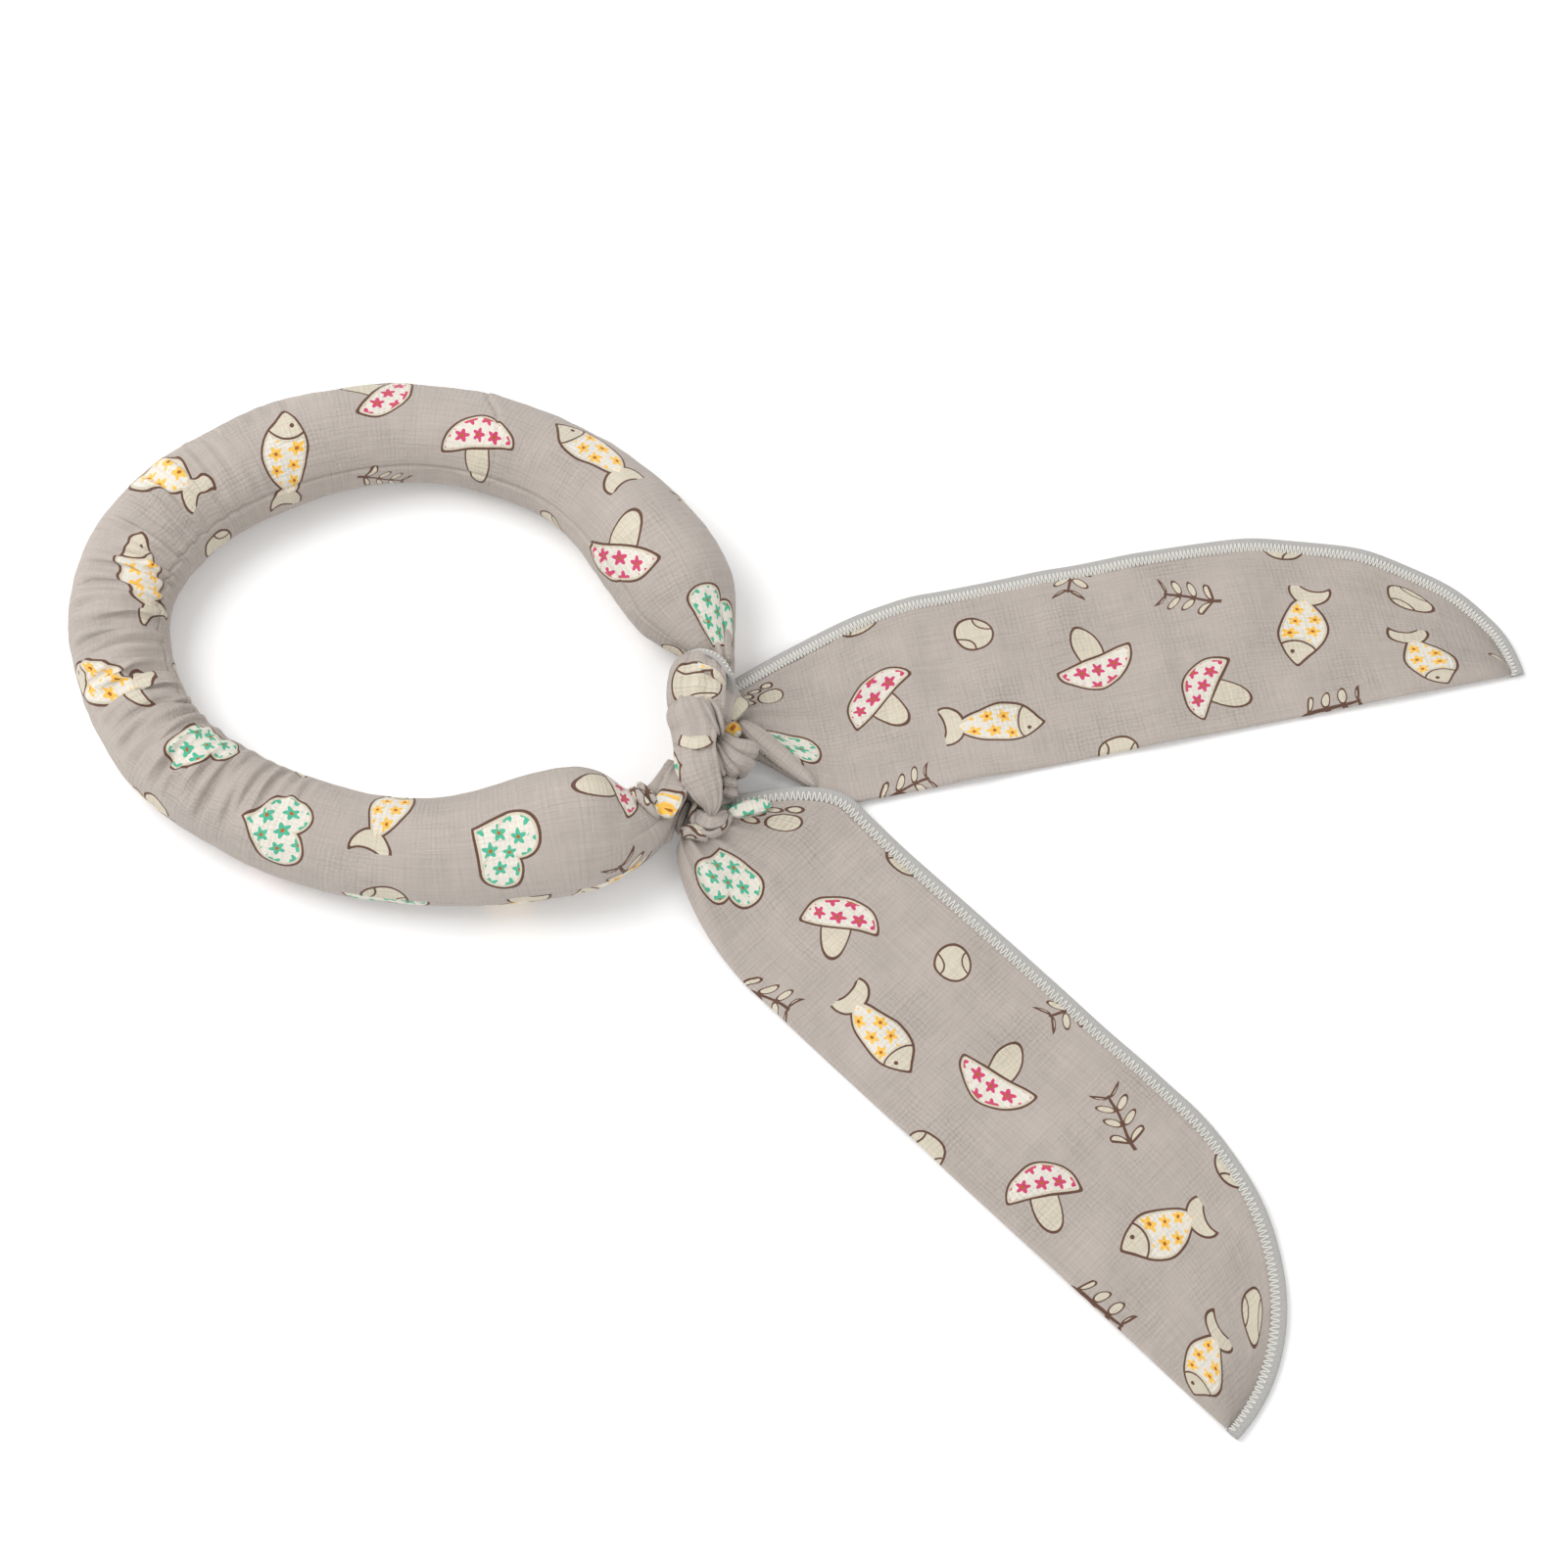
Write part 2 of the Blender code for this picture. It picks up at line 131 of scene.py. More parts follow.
def add_table():
    """A pale square just under the part, its corners at plus and minus half its side."""
    corners = [(x * TABLE_HALF, y * TABLE_HALF, -TABLE_DROP) for x, y in ((-1, -1), (1, -1), (1, 1), (-1, 1))]
    mesh = bpy.data.meshes.new("table_top")
    mesh.from_pydata(corners, [], [(0, 1, 2, 3)])
    table = bpy.data.objects.new("table_top", mesh)
    bpy.context.scene.collection.objects.link(table)
    material = bpy.data.materials.new("pale_table")
    material.use_nodes = True
    shader = material.node_tree.nodes["Principled BSDF"]
    shader.inputs["Base Color"].default_value = (TABLE_GREY, TABLE_GREY, TABLE_GREY, 1)
    shader.inputs["Roughness"].default_value = 0.9
    shader.inputs["Specular IOR Level"].default_value = 0.1
    shader.inputs["Emission Color"].default_value = (1, 1, 1, 1)
    shader.inputs["Emission Strength"].default_value = TABLE_GLOW
    mesh.materials.append(material)


add_camera()
for lamp in LAMPS:
    add_lamp(*lamp)
add_room(ROOM_LIGHT)
add_table()
bpy.context.scene.view_settings.view_transform = "Standard"
print("the picture covers", round(PHOTO_SIDE * PIXEL / MM), "mm at the middle of the view")

# %% [markdown]
# ## Curves through a table's rows
#
# A piece starts as a short table of sections. A natural cubic spline runs through the
# rows, so a few of them give a smooth path with smoothly changing width and thickness.

# %% A smooth curve through rows


def through(rows, count, crowding=0.0):
    """Rows of numbers read along one smooth curve, a natural cubic through every row.

    The curve runs by the length between rows. Samples are at even steps, or crowded towards the ends.
    """
    rows = np.array(rows, float)
    steps = np.linalg.norm(np.diff(rows[:, :3], axis=0), axis=1)
    at = np.concatenate([[0.0], np.cumsum(steps)]) / steps.sum()
    gaps = np.diff(at)
    slopes = np.diff(rows, axis=0) / gaps[:, None]
    last = len(rows) - 1
    system = np.eye(len(rows))
    right = np.zeros_like(rows)
    for i in range(1, last):
        system[i, i - 1 : i + 2] = gaps[i - 1], 2 * (gaps[i - 1] + gaps[i]), gaps[i]
        right[i] = 6 * (slopes[i] - slopes[i - 1])
    bend = np.linalg.solve(system, right)
    wanted = np.linspace(0, 1, count)
    wanted = wanted - crowding * np.sin(2 * np.pi * wanted)
    k = np.clip(np.searchsorted(at, wanted) - 1, 0, last - 1)
    before = (wanted - at[k])[:, None]
    after = (at[k + 1] - wanted)[:, None]
    gap = gaps[k][:, None]
    return (
        (bend[k] * after**3 + bend[k + 1] * before**3) / (6 * gap)
        + (rows[k] / gap - bend[k] * gap / 6) * after
        + (rows[k + 1] / gap - bend[k + 1] * gap / 6) * before
    )


def smooth_step(x):
    """0 below 0 and 1 above 1, with three x squared less two x cubed between."""
    x = np.clip(x, 0, 1)
    return x * x * (3 - 2 * x)


def distance_along(line):
    """How far each point of a line is from its first one, along the line."""
    steps = np.linalg.norm(np.diff(line, axis=0), axis=1)
    return np.concatenate([[0.0], np.cumsum(steps)])


print("a quarter of the way, a smooth step has risen", smooth_step(0.25))

# %% [markdown]
# ## Sections across a path
#
# A tube is a path with a closed section carried along it. At each place the section stands square to
# the path, and it is turned so that one of its two sides faces a given direction. A superellipse serves
# every piece: it is a circle for the stuffed roll, and a rounded bar for a flat fold or the hem.

# %% Sections
UP = np.array([[0.0, 0.0, 1.0]])


def unit(vectors):
    """Vectors divided by their own lengths."""
    return vectors / np.linalg.norm(vectors, axis=-1, keepdims=True)


def turns(points):
    """Angles of the points round a section, none of them straight up or down."""
    return (np.arange(points) + 0.5) * 2 * np.pi / points


def square_to(path, up):
    """The directions across a path: sideways, and outwards, which is as near to up as it can be.

    Outwards is up less its part along the path, and sideways is the cross product of the path's
    direction and outwards.
    """
    tangent = unit(np.gradient(path, axis=0))
    outward = unit(up - (up * tangent).sum(axis=1, keepdims=True) * tangent)
    return np.cross(tangent, outward), outward


def sections(path, up, width, thickness, points, squareness=2.0):
    """A grid of superellipses across a path: width times the cosine and thickness times the sine.

    Each is raised to two over the squareness, so 2 is an ellipse and more is boxier.
    """
    side, outward = square_to(path, up)
    turn = turns(points)
    across = np.sign(np.cos(turn)) * np.abs(np.cos(turn)) ** (2 / squareness)
    over = np.sign(np.sin(turn)) * np.abs(np.sin(turn)) ** (2 / squareness)
    return (
        path[:, None, :]
        + side[:, None, :] * (width[:, None] / 2 * across)[..., None]
        + outward[:, None, :] * (thickness[:, None] / 2 * over)[..., None]
    )


def outward_normals(grid):
    """Normals of a grid that is closed round its sections: the cross product of its two directions."""
    along = np.gradient(grid, axis=0)
    around = np.roll(grid, -1, axis=1) - np.roll(grid, 1, axis=1)
    normal = unit(np.cross(around, along) + 1e-15)
    out = grid - grid.mean(axis=1, keepdims=True)
    return normal * np.sign((normal * out).sum())


def above_table(grid):
    """The grid with no point below the table: each height is the larger of itself and nought."""
    grid[..., 2] = np.maximum(grid[..., 2], 0)
    return grid


def in_knot(row):
    """A table row's first three shares as a place in the knot, counted from its centre."""
    return row[0] * KNOT_WIDTH, row[1] * KNOT_LENGTH, row[2] * KNOT_HEIGHT


print("the first of eight points round a section is at", np.degrees(turns(8)[0]), "degrees")

# %% [markdown]
# ## From a grid to a mesh
#
# Each surface is a grid of points: rows along the piece, columns round it. The same grid has a flat
# place for each point, in metres on the cloth before it was sewn. That goes into the UV map, so the
# print and the weave follow the cloth round every bend.

# %% Grid to mesh


def flat_places(along, around):
    """The flat grid: distance along the cloth for each row, and distance round it for each column."""
    return np.stack(np.broadcast_arrays(along[:, None], around[None, :]), -1)


def cloth_mesh(name, grid, flat):
    """A closed mesh over a grid, with a face between each four points and rows of faces over its ends.

    The flat grid has one more column than the grid, for the far side of the seam. The sign of the
    volume, a sum of triple products over the faces, tells whether the faces point outwards.
    """
    rows, columns = grid.shape[:2]
    i, j = np.meshgrid(np.arange(rows - 1), np.arange(columns), indexing="ij")
    k = (j + 1) % columns
    faces = np.stack([i * columns + j, i * columns + k, (i + 1) * columns + k, (i + 1) * columns + j], -1)
    places = np.stack([flat[i, j], flat[i, j + 1], flat[i + 1, j + 1], flat[i + 1, j]], -2)
    caps = []
    cap_places = []
    for row in (0, rows - 1):
        near = np.arange(columns // 2 - 1)
        far = columns - 1 - near
        corners = np.stack([near, near + 1, far - 1, far], -1)
        caps.append(corners[:, :: 1 if row else -1] + row * columns)
        cap_places.append(flat[row][corners[:, :: 1 if row else -1]])
    faces = np.concatenate([faces.reshape(-1, 4), *caps])
    places = np.concatenate([places.reshape(-1, 4, 2), *cap_places])
    corner = grid.reshape(-1, 3)[faces]
    volume = np.einsum("ij,ij->i", corner[:, 0], np.cross(corner[:, 1], corner[:, 2])).sum()
    volume += np.einsum("ij,ij->i", corner[:, 0], np.cross(corner[:, 2], corner[:, 3])).sum()
    if volume < 0:
        faces = faces[:, ::-1]
        places = places[:, ::-1]
    mesh = bpy.data.meshes.new(name)
    mesh.vertices.add(rows * columns)
    mesh.vertices.foreach_set("co", (grid + KNOT).astype(np.float32).ravel())
    mesh.loops.add(faces.size)
    mesh.loops.foreach_set("vertex_index", faces.astype(np.int32).ravel())
    mesh.polygons.add(len(faces))
    mesh.polygons.foreach_set("loop_start", np.arange(0, faces.size, 4, dtype=np.int32))
    mesh.uv_layers.new(name="cloth")
    mesh.uv_layers["cloth"].data.foreach_set("uv", places.astype(np.float32).ravel())
    mesh.update(calc_edges=True)
    mesh.shade_smooth()
    obj = bpy.data.objects.new(name, mesh)
    bpy.context.scene.collection.objects.link(obj)
    print(name, len(faces), "quads")
    return obj


def finish_piece(obj, material, slot, *nodes):
    """Gives a piece its material, lets it ride on the part, and hides what it stands for. Its slot is not
    used.
    """
    obj.data.materials.append(material)
    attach(obj, "root")
    if nodes:
        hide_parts(*nodes)
    return obj


print("flat places for a grid of 3 by 4:", flat_places(np.arange(3), np.arange(5)).shape)

# %% [markdown]
# ## Folds and ripples
#
# A crease in cloth isn't a groove. One side lies over the other, so the surface steps down at a line
# and comes back up slowly. That is one formula of the distance to a line drawn on the flat cloth.
# Broad unevenness is a sum of a few sine waves in random directions, with a fixed seed.

# %% Folds and ripples


def along_line(points, line):
    """Signed distance of flat points from a line, and the share of the line at the nearest place.

    The distance is positive on the line's left.
    """
    best = np.full(points.shape[:-1], np.inf)
    signed = np.zeros(points.shape[:-1])
    share = np.zeros(points.shape[:-1])
    at = distance_along(line)
    for k in range(len(line) - 1):
        edge = line[k + 1] - line[k]
        t = np.clip(((points - line[k]) @ edge) / (edge @ edge), 0, 1)
        gap = points - (line[k] + t[..., None] * edge)
        far = np.linalg.norm(gap, axis=-1)
        side = np.sign(edge[0] * gap[..., 1] - edge[1] * gap[..., 0])
        nearer = far < best
        best = np.where(nearer, far, best)
        signed = np.where(nearer, far * side, signed)
        share = np.where(nearer, (at[k] + t * (at[k + 1] - at[k])) / at[-1], share)
    return signed, share


def fold(points, line, height, fall, groove, width):
    """Height of a fold on flat points: a raised lip on the line's left, and a groove on the line.

    The lip is height times exp(-distance / fall), the groove a bell of that width, and both fade at
    the line's two ends.
    """
    corners = np.array(line, float)
    smooth = through(np.column_stack([corners, np.zeros(len(corners))]), 14)[:, :2]
    distance, share = along_line(points, smooth)
    taper = np.sin(np.pi * np.clip(share, 0.02, 0.98)) ** 0.7
    lip = height * np.exp(-np.maximum(distance, 0) / fall) * smooth_step(distance / width + 0.5)
    return (lip - groove * np.exp(-((distance / width) ** 2))) * taper


def unevenness(points, seed, waves, shortest, longest):
    """Sine waves summed in random directions of space: about one high, between two wavelengths."""
    random = np.random.default_rng(seed)
    total = np.zeros(points.shape[:-1])
    for _ in range(waves):
        direction = unit(random.normal(size=points.shape[-1]))
        length = np.exp(random.uniform(np.log(shortest), np.log(longest)))
        total += np.sin(points @ direction * 2 * np.pi / length + random.uniform(0, 2 * np.pi))
    return total / np.sqrt(waves)


sample = unevenness(np.random.default_rng(1).uniform(0, 1, (1000, 3)), 5, 14, 22 * MM, 60 * MM)
print("the unevenness of a thousand places spreads by", round(float(sample.std()), 2))

# %% [markdown]
# ## The roll
#
# The roll is a tube along a path that almost closes, thickest just before each end, where the stuffing
# is pushed up, and drawn in to a pleated neck. A torus would be even all round. A table of places and
# diameters lets the ring be as wide, as flat and as swollen as the stuffing makes it.

# %% The roll's shape
# Columns: x in ring lengths, y in ring widths, swell from the roll's diameter (0) to the bulge's (1).
ROLL_BODY = [
    (-0.043, 0.329, 0.29),
    (-0.068, 0.388, 0.67),
    (-0.129, 0.499, 0.46),
    (-0.200, 0.599, 0.08),
    (-0.284, 0.674, -0.08),
    (-0.378, 0.724, -0.12),
    (-0.525, 0.752, -0.04),
    (-0.670, 0.726, 0.17),
    (-0.807, 0.653, 0.25),
    (-0.923, 0.533, 0.21),
    (-0.984, 0.415, 0.08),
    (-1.000, 0.295, -0.08),
    (-0.978, 0.154, -0.29),
    (-0.934, 0.039, -0.33),
    (-0.864, -0.058, -0.21),
    (-0.739, -0.161, -0.08),
    (-0.602, -0.224, -0.04),
    (-0.462, -0.248, 0.08),
    (-0.368, -0.242, 0.37),
    (-0.276, -0.222, 0.92),
    (-0.230, -0.211, 1.00),
    (-0.183, -0.200, 0.58),
]
# The necks' columns: x in knot widths, y in knot lengths, height in knot heights, diameter in neck
# diameters.
UPPER_NECK = [
    (0.070, 0.350, 0.50, 0.70),
    (0.085, 0.480, 0.50, 0.84),
    (0.010, 0.600, 0.50, 1.28),
]
LOWER_NECK = [
    (-0.620, -0.450, 0.48, 1.40),
    (-0.455, -0.330, 0.48, 1.02),
    (-0.300, -0.170, 0.48, 0.88),
]
ROLL_STATIONS = 400
ROLL_POINTS = 96
ROLL_CROWDING = 0.02
ROLL_SLUMP = 0.06


def roll_path():
    """The roll's centre line, its diameters, and how far each place belongs to a neck."""
    rows = [(*in_knot(row), row[3] * NECK_DIAMETER, 1.0) for row in UPPER_NECK]
    for x, y, swell in ROLL_BODY:
        diameter = ROLL_DIAMETER + swell * (BULGE_DIAMETER - ROLL_DIAMETER)
        rows.append((x * RING_LENGTH, y * RING_WIDTH, diameter / 2 - ROLL_SINK, diameter, 0.0))
    rows += [(*in_knot(row), row[3] * NECK_DIAMETER, 1.0) for row in LOWER_NECK]
    read = through(rows, ROLL_STATIONS, ROLL_CROWDING)
    return read[:, :3], read[:, 3], np.clip(read[:, 4], 0, 1)


def roll_grid():
    """Round sections along the ring, slumped a little, without their folds yet."""
    path, diameter, neck = roll_path()
    height = diameter * (1 - ROLL_SLUMP * (1 - neck))
    return sections(path, UP, diameter, height, ROLL_POINTS), path


print("the roll is", round(distance_along(roll_grid()[1])[-1] / MM), "mm long from neck to neck")

# %% [markdown]
# ## The roll's puckers
#
# The roll was sewn straight and then bent, so the cloth on the ring's inner side has length to spare and
# puckers. Puckers drawn by hand look like hatching. So the cloth is simulated: each thread wants to be a
# little longer than it lies, the stuffing holds the cloth back, and the cloth resists sharp bends.
# Blender's Cloth hardly moves on a mesh this fine, and the grid makes a simulation in numpy short.

# %% The roll's cloth settles
CLOTH_ROUNDS = 260
STUFFING = 0.008
STIFFNESS = 0.26
THREAD_PULL = 0.9
GIRTH_SPARE = 1.004
FIRST_WRINKLES = 0.08 * MM


def mend(points, first, second, rest, share):
    """Moves both ends of each thread towards its own length, by a share of what is missing."""
    gap = points[second] - points[first]
    length = np.linalg.norm(gap, axis=-1, keepdims=True)
    move = 0.5 * share * (1 - rest[..., None] / length) * gap
    points[first] += move
    points[second] -= move


def smoothed(values):
    """Each value replaced by the mean of its four neighbours, round the tube and along it."""
    padded = np.concatenate([values[:1], values, values[-1:]])
    along = padded[2:] + padded[:-2]
    return (along + np.roll(values, 1, axis=1) + np.roll(values, -1, axis=1)) / 4


def settled(grid, spare, free):
    """The tube's cloth with spare length in it, let go against the stuffing.

    In each round the threads along and across take up their own lengths, the move away from the
    stuffing shrinks a little, and it is smoothed a little, which is the cloth's resistance to bending.
    What is held keeps its place, and nothing goes below the table.
    """
    random = np.random.default_rng(12)
    along = np.linalg.norm(np.diff(grid, axis=0), axis=2) * (1 + (spare[1:] + spare[:-1]) / 2)
    around = np.linalg.norm(np.roll(grid, -1, axis=1) - grid, axis=2) * GIRTH_SPARE
    normal = outward_normals(grid)
    points = grid + normal * (FIRST_WRINKLES * free * random.normal(size=free.shape))[..., None]
    stations, columns = grid.shape[:2]
    every_other_row = [np.arange(start, stations - 1, 2) for start in (0, 1)]
    every_other_column = [np.arange(start, columns, 2) for start in (0, 1)]
    for _ in range(CLOTH_ROUNDS):
        for row in every_other_row:
            mend(points, row, row + 1, along[row], THREAD_PULL)
        for column in every_other_column:
            beside = (column + 1) % columns
            mend(points, np.s_[:, column], np.s_[:, beside], around[:, column], THREAD_PULL)
        move = points - grid
        move += STIFFNESS * (smoothed(move) - move)
        move *= (1 - STUFFING) * free[..., None]
        points = above_table(grid + move)
    return points


def doubled(values):
    """Twice as fine along the first axis: between two values goes nine sixteenths of each, less a
    sixteenth of each next neighbour."""
    padded = np.concatenate([2 * values[:1] - values[1:2], values, 2 * values[-1:] - values[-2:-1]])
    between = (9 * (padded[1:-2] + padded[2:-1]) - padded[:-3] - padded[3:]) / 16
    out = np.empty((2 * len(values) - 1, *values.shape[1:]))
    out[0::2] = values
    out[1::2] = between
    return out


def doubled_round(values):
    """The same round the tube, where the last column meets the first."""
    turned = np.swapaxes(values, 0, 1)
    ring = np.concatenate([turned[-2:], turned, turned[:3]])
    return np.swapaxes(doubled(ring)[4:-5], 0, 1)

# %% Where the cloth has length to spare
# Shares of the roll's length and angles round its section, both at the middle of the puckers, and how
# far the puckers reach from there.
SPARE = 0.42
PUCKER_DEPTH = 1.3
PUCKER_PLACE, PUCKER_REACH = 0.55, 0.18
PUCKER_TURN, PUCKER_WIDTH = 1.75, 1.10
FAINT_PUCKERS = 0.12
# Millimetres of each end that are held, and over which the cloth then comes free.
HELD, FREED = 14, 26


def plateau(values, middle, reach):
    """1 about the middle and 0 beyond the reach: exp of less the fourth power of the distance in reaches."""
    return np.exp(-(((values - middle) / reach) ** 4))


def spare_length(grid, along, turn):
    """How much longer the cloth wants to be: most at the far bend and on the inner side, in patches."""
    patches = 0.75 + 0.45 * unevenness(grid, 9, 12, 30 * MM, 90 * MM)
    bend = plateau(along / along[-1], PUCKER_PLACE, PUCKER_REACH)
    puckered = FAINT_PUCKERS + (1 - FAINT_PUCKERS) * bend
    inner = plateau(turn, PUCKER_TURN, PUCKER_WIDTH)
    return SPARE * np.clip(patches, 0.1, 1.3) * inner[None, :] * puckered[:, None]


def settled_roll():
    """The roll's grid with its puckers, and its path, both made twice as fine after the cloth settled.

    The necks are held. What the cloth has moved is laid on a little deeper than it settled.
    """
    coarse, path = roll_grid()
    along = distance_along(path)
    near_end = np.minimum(along, along[-1] - along)
    free = smooth_step((near_end / MM - HELD) / FREED)[:, None] * np.ones(ROLL_POINTS)
    spare = spare_length(coarse, along, turns(ROLL_POINTS))
    coarse = coarse + PUCKER_DEPTH * (settled(coarse, spare, free) - coarse)
    return doubled_round(doubled(coarse)), doubled(path)

# %% [markdown]
# ## The roll's gathers and seams
#
# At the necks the cloth is drawn in to pleats. The strip's long seam runs round the ring's inner side as
# a groove with a raised lip, and a join crosses the roll near its top. All of them are added to the
# settled cloth as one height along its normals, so they ride on its puckers as real stitching does.

# %% The roll's gathers and seams
NECK_PLEATS = 7
GATHER_DEPTH = 0.34
GATHER_REACH = 34 * MM
LONG_SEAM = 2.72
SEAM_LIP, SEAM_LIP_PLACE, SEAM_LIP_WIDTH = 0.35, 1.2 * MM, 2.2 * MM
SEAM_GROOVE, SEAM_GROOVE_WIDTH = 0.75, 0.55 * MM
# The join: its place as a share of the roll's length, and its line's columns, which are millimetres
# along the roll from there and the angle round the section.
JOIN_PLACE = 0.240
JOIN_LINE = [(6.0, 0.3), (3.0, 1.0), (0.0, 1.25), (-2.5, 1.65), (-4.5, 2.1), (-6.0, 2.6)]
# The join's fold: how high its lip is and how far it falls off, and how deep and wide its groove is.
JOIN_FOLD = np.array([1.1, 3.5, 1.0, 0.7]) * MM
ROLL_SOFT = 0.35 * MM
ROLL_FINE = 0.09 * MM


def gathers(neck, turn):
    """Pleats at the necks: narrow valleys round the section, at uneven angles, deepest at the neck.

    A valley is one less the size of a sine to the power 0.6, and two slower sines shift its angle.
    """
    random = np.random.default_rng(4)
    wander = 0.35 * np.sin(turn * 2 + random.uniform(0, 6)) + 0.2 * np.sin(turn * 3 + random.uniform(0, 6))
    valley = 1 - np.abs(np.sin(NECK_PLEATS * turn / 2 + wander)) ** 0.6
    return valley[None, :] * neck[:, None]


def long_seam(along, turn):
    """The long seam: a lip that falls off as exp of less the distance, and a groove shaped as a bell."""
    wander = 0.06 * np.sin(along / (31 * MM))[:, None]
    from_seam = (turn - LONG_SEAM + wander) * ROLL_DIAMETER / 2
    lip = SEAM_LIP * np.exp(-np.abs(from_seam - SEAM_LIP_PLACE) / SEAM_LIP_WIDTH)
    return lip - SEAM_GROOVE * np.exp(-((from_seam / SEAM_GROOVE_WIDTH) ** 2))


def shaped_roll():
    """The roll's settled cloth with its gathers, seams and soft unevenness, and its flat places."""
    grid, path = settled_roll()
    along = distance_along(path)
    turn = turns(grid.shape[1])
    turn = turn - (turn[0] - turns(ROLL_POINTS)[0])
    towards_neck = smooth_step(1 - np.minimum(along, along[-1] - along) / GATHER_REACH)
    bulk = 1 - smooth_step(towards_neck)
    radius = np.linalg.norm(grid - path[:, None, :], axis=2)
    girth = np.pi * ROLL_DIAMETER
    flat = flat_places(along, np.append(turn, turn[0] + 2 * np.pi) / (2 * np.pi) * girth)
    lift = -GATHER_DEPTH * radius * gathers(towards_neck**1.3, turn)
    lift += long_seam(along, turn) * MM * bulk[:, None]
    join = [(JOIN_PLACE * along[-1] + x * MM, angle / (2 * np.pi) * girth) for x, angle in JOIN_LINE]
    lift += fold(flat[:, :-1], join, *JOIN_FOLD)
    lift += ROLL_SOFT * unevenness(grid, 5, 14, 22 * MM, 60 * MM) * bulk[:, None]
    lift += ROLL_FINE * unevenness(grid, 6, 20, 4 * MM, 9 * MM)
    return above_table(grid + outward_normals(grid) * lift[..., None]), flat


print("the roll has", 2 * ROLL_STATIONS - 1, "sections of", 2 * ROLL_POINTS, "points")

# %% [markdown]
# ## The tails
#
# A tail is the folded strip lying flat: one layer on the other, joined at the fold, and cut to a curved
# tip. It is a thin closed section, carried from the gathered root to the tip. The same two edge curves
# as in the packed model give its outline, and ripples lift it a little from the table.

# %% The tails' outline
# Each tail: its root in knot widths and lengths, its heading in degrees and its length, the share of the
# strip on the fold's side, how far each side fans out in strip widths and with what ease, the curved
# tip's length in strip widths, the seed of its unevenness, and the length of its stitches.
TAILS = {
    "upper": {
        "root": (0.06, 0.180), "heading": 12.0, "length": UPPER_TAIL_LENGTH, "centre": 0.49,
        "fold_fan": 0.58, "fold_ease": 1.9, "hem_fan": 1.12, "hem_ease": 1.05, "tip": 1.50,
        "seed": 3, "stitch": 1.25 * MM,
    },
    "lower": {
        "root": (-0.07, -0.430), "heading": -44.5, "length": LOWER_TAIL_LENGTH, "centre": 0.42,
        "fold_fan": 0.75, "fold_ease": 0.6, "hem_fan": 0.43, "hem_ease": 1.0, "tip": 1.22,
        "seed": 8, "stitch": 1.70 * MM,
    },
}
ROOT_WIDTH = 20 * MM
EDGE_STATIONS = 400
EDGE_FINENESS = 6
EDGE_CROWDING = 1.25


def spread(along, fan, ease):
    """From 0 at the root to 1 where the fan ends: a quarter sine wave to the power of its ease."""
    return np.sin(np.pi / 2 * np.clip(along / (fan * STRIP_WIDTH), 0, 1)) ** ease


def tail_edges(tail, along):
    """The fold's and the hem's places across the strip at distances from the root.

    Both fan out from the root's half width. In the tip, the hem comes in to the fold as a quarter of an
    ellipse, the root of one less the square.
    """
    root = ROOT_WIDTH / 2
    fold_side = tail["centre"] * STRIP_WIDTH
    hem_side = STRIP_WIDTH - fold_side
    folded = -(root + (fold_side - root) * spread(along, tail["fold_fan"], tail["fold_ease"]))
    hem = root + (hem_side - root) * spread(along, tail["hem_fan"], tail["hem_ease"])
    tip = tail["tip"] * STRIP_WIDTH
    into_tip = np.clip((along - (tail["length"] - tip)) / tip, 0, 1)
    hem = -fold_side + (hem + fold_side) * np.sqrt(1 - into_tip**2)
    return folded, hem


def hem_line(tail, stations, inset):
    """A line beside the hem's outer edge, in even steps from the root to the tip, as (along, across).

    It is read from a finer line, whose samples crowd towards the tip: one less a power of the way left.
    """
    along = tail["length"] * (1 - (1 - np.linspace(0, 1, EDGE_FINENESS * stations)) ** EDGE_CROWDING)
    line = np.stack([along, tail_edges(tail, along)[1]], 1)
    tangent = unit(np.gradient(line, axis=0))
    line = line + inset * np.stack([tangent[:, 1], -tangent[:, 0]], 1)
    at = distance_along(line)
    wanted = np.linspace(0, at[-1], stations)
    return np.stack([np.interp(wanted, at, line[:, k]) for k in (0, 1)], 1)


for key, tail in TAILS.items():
    edge = distance_along(hem_line(tail, EDGE_STATIONS, 0.0))[-1]
    print("the", key, "tail's open edge is", round(edge / MM), "mm long")

# %% [markdown]
# ## The tails' ripples
#
# Laid cloth keeps long low ripples, which run mostly along the strip, and pleats that fan out of the
# gathered root. Both are bells, laid over the tail by a table. They lift the cloth or thicken it, so the
# underside of the root stays closed.

# %% The tails' ripples
ROOT_THICKNESS = 8.0 * MM
ROOT_HEIGHT = 3.2 * MM
LAYERS = 1.5 * MM
TAIL_DROP = 0.85
GATHER_FADE = 0.55
RIPPLE_LIFT = 1.35
SOFT_LIFT = 0.35 * MM
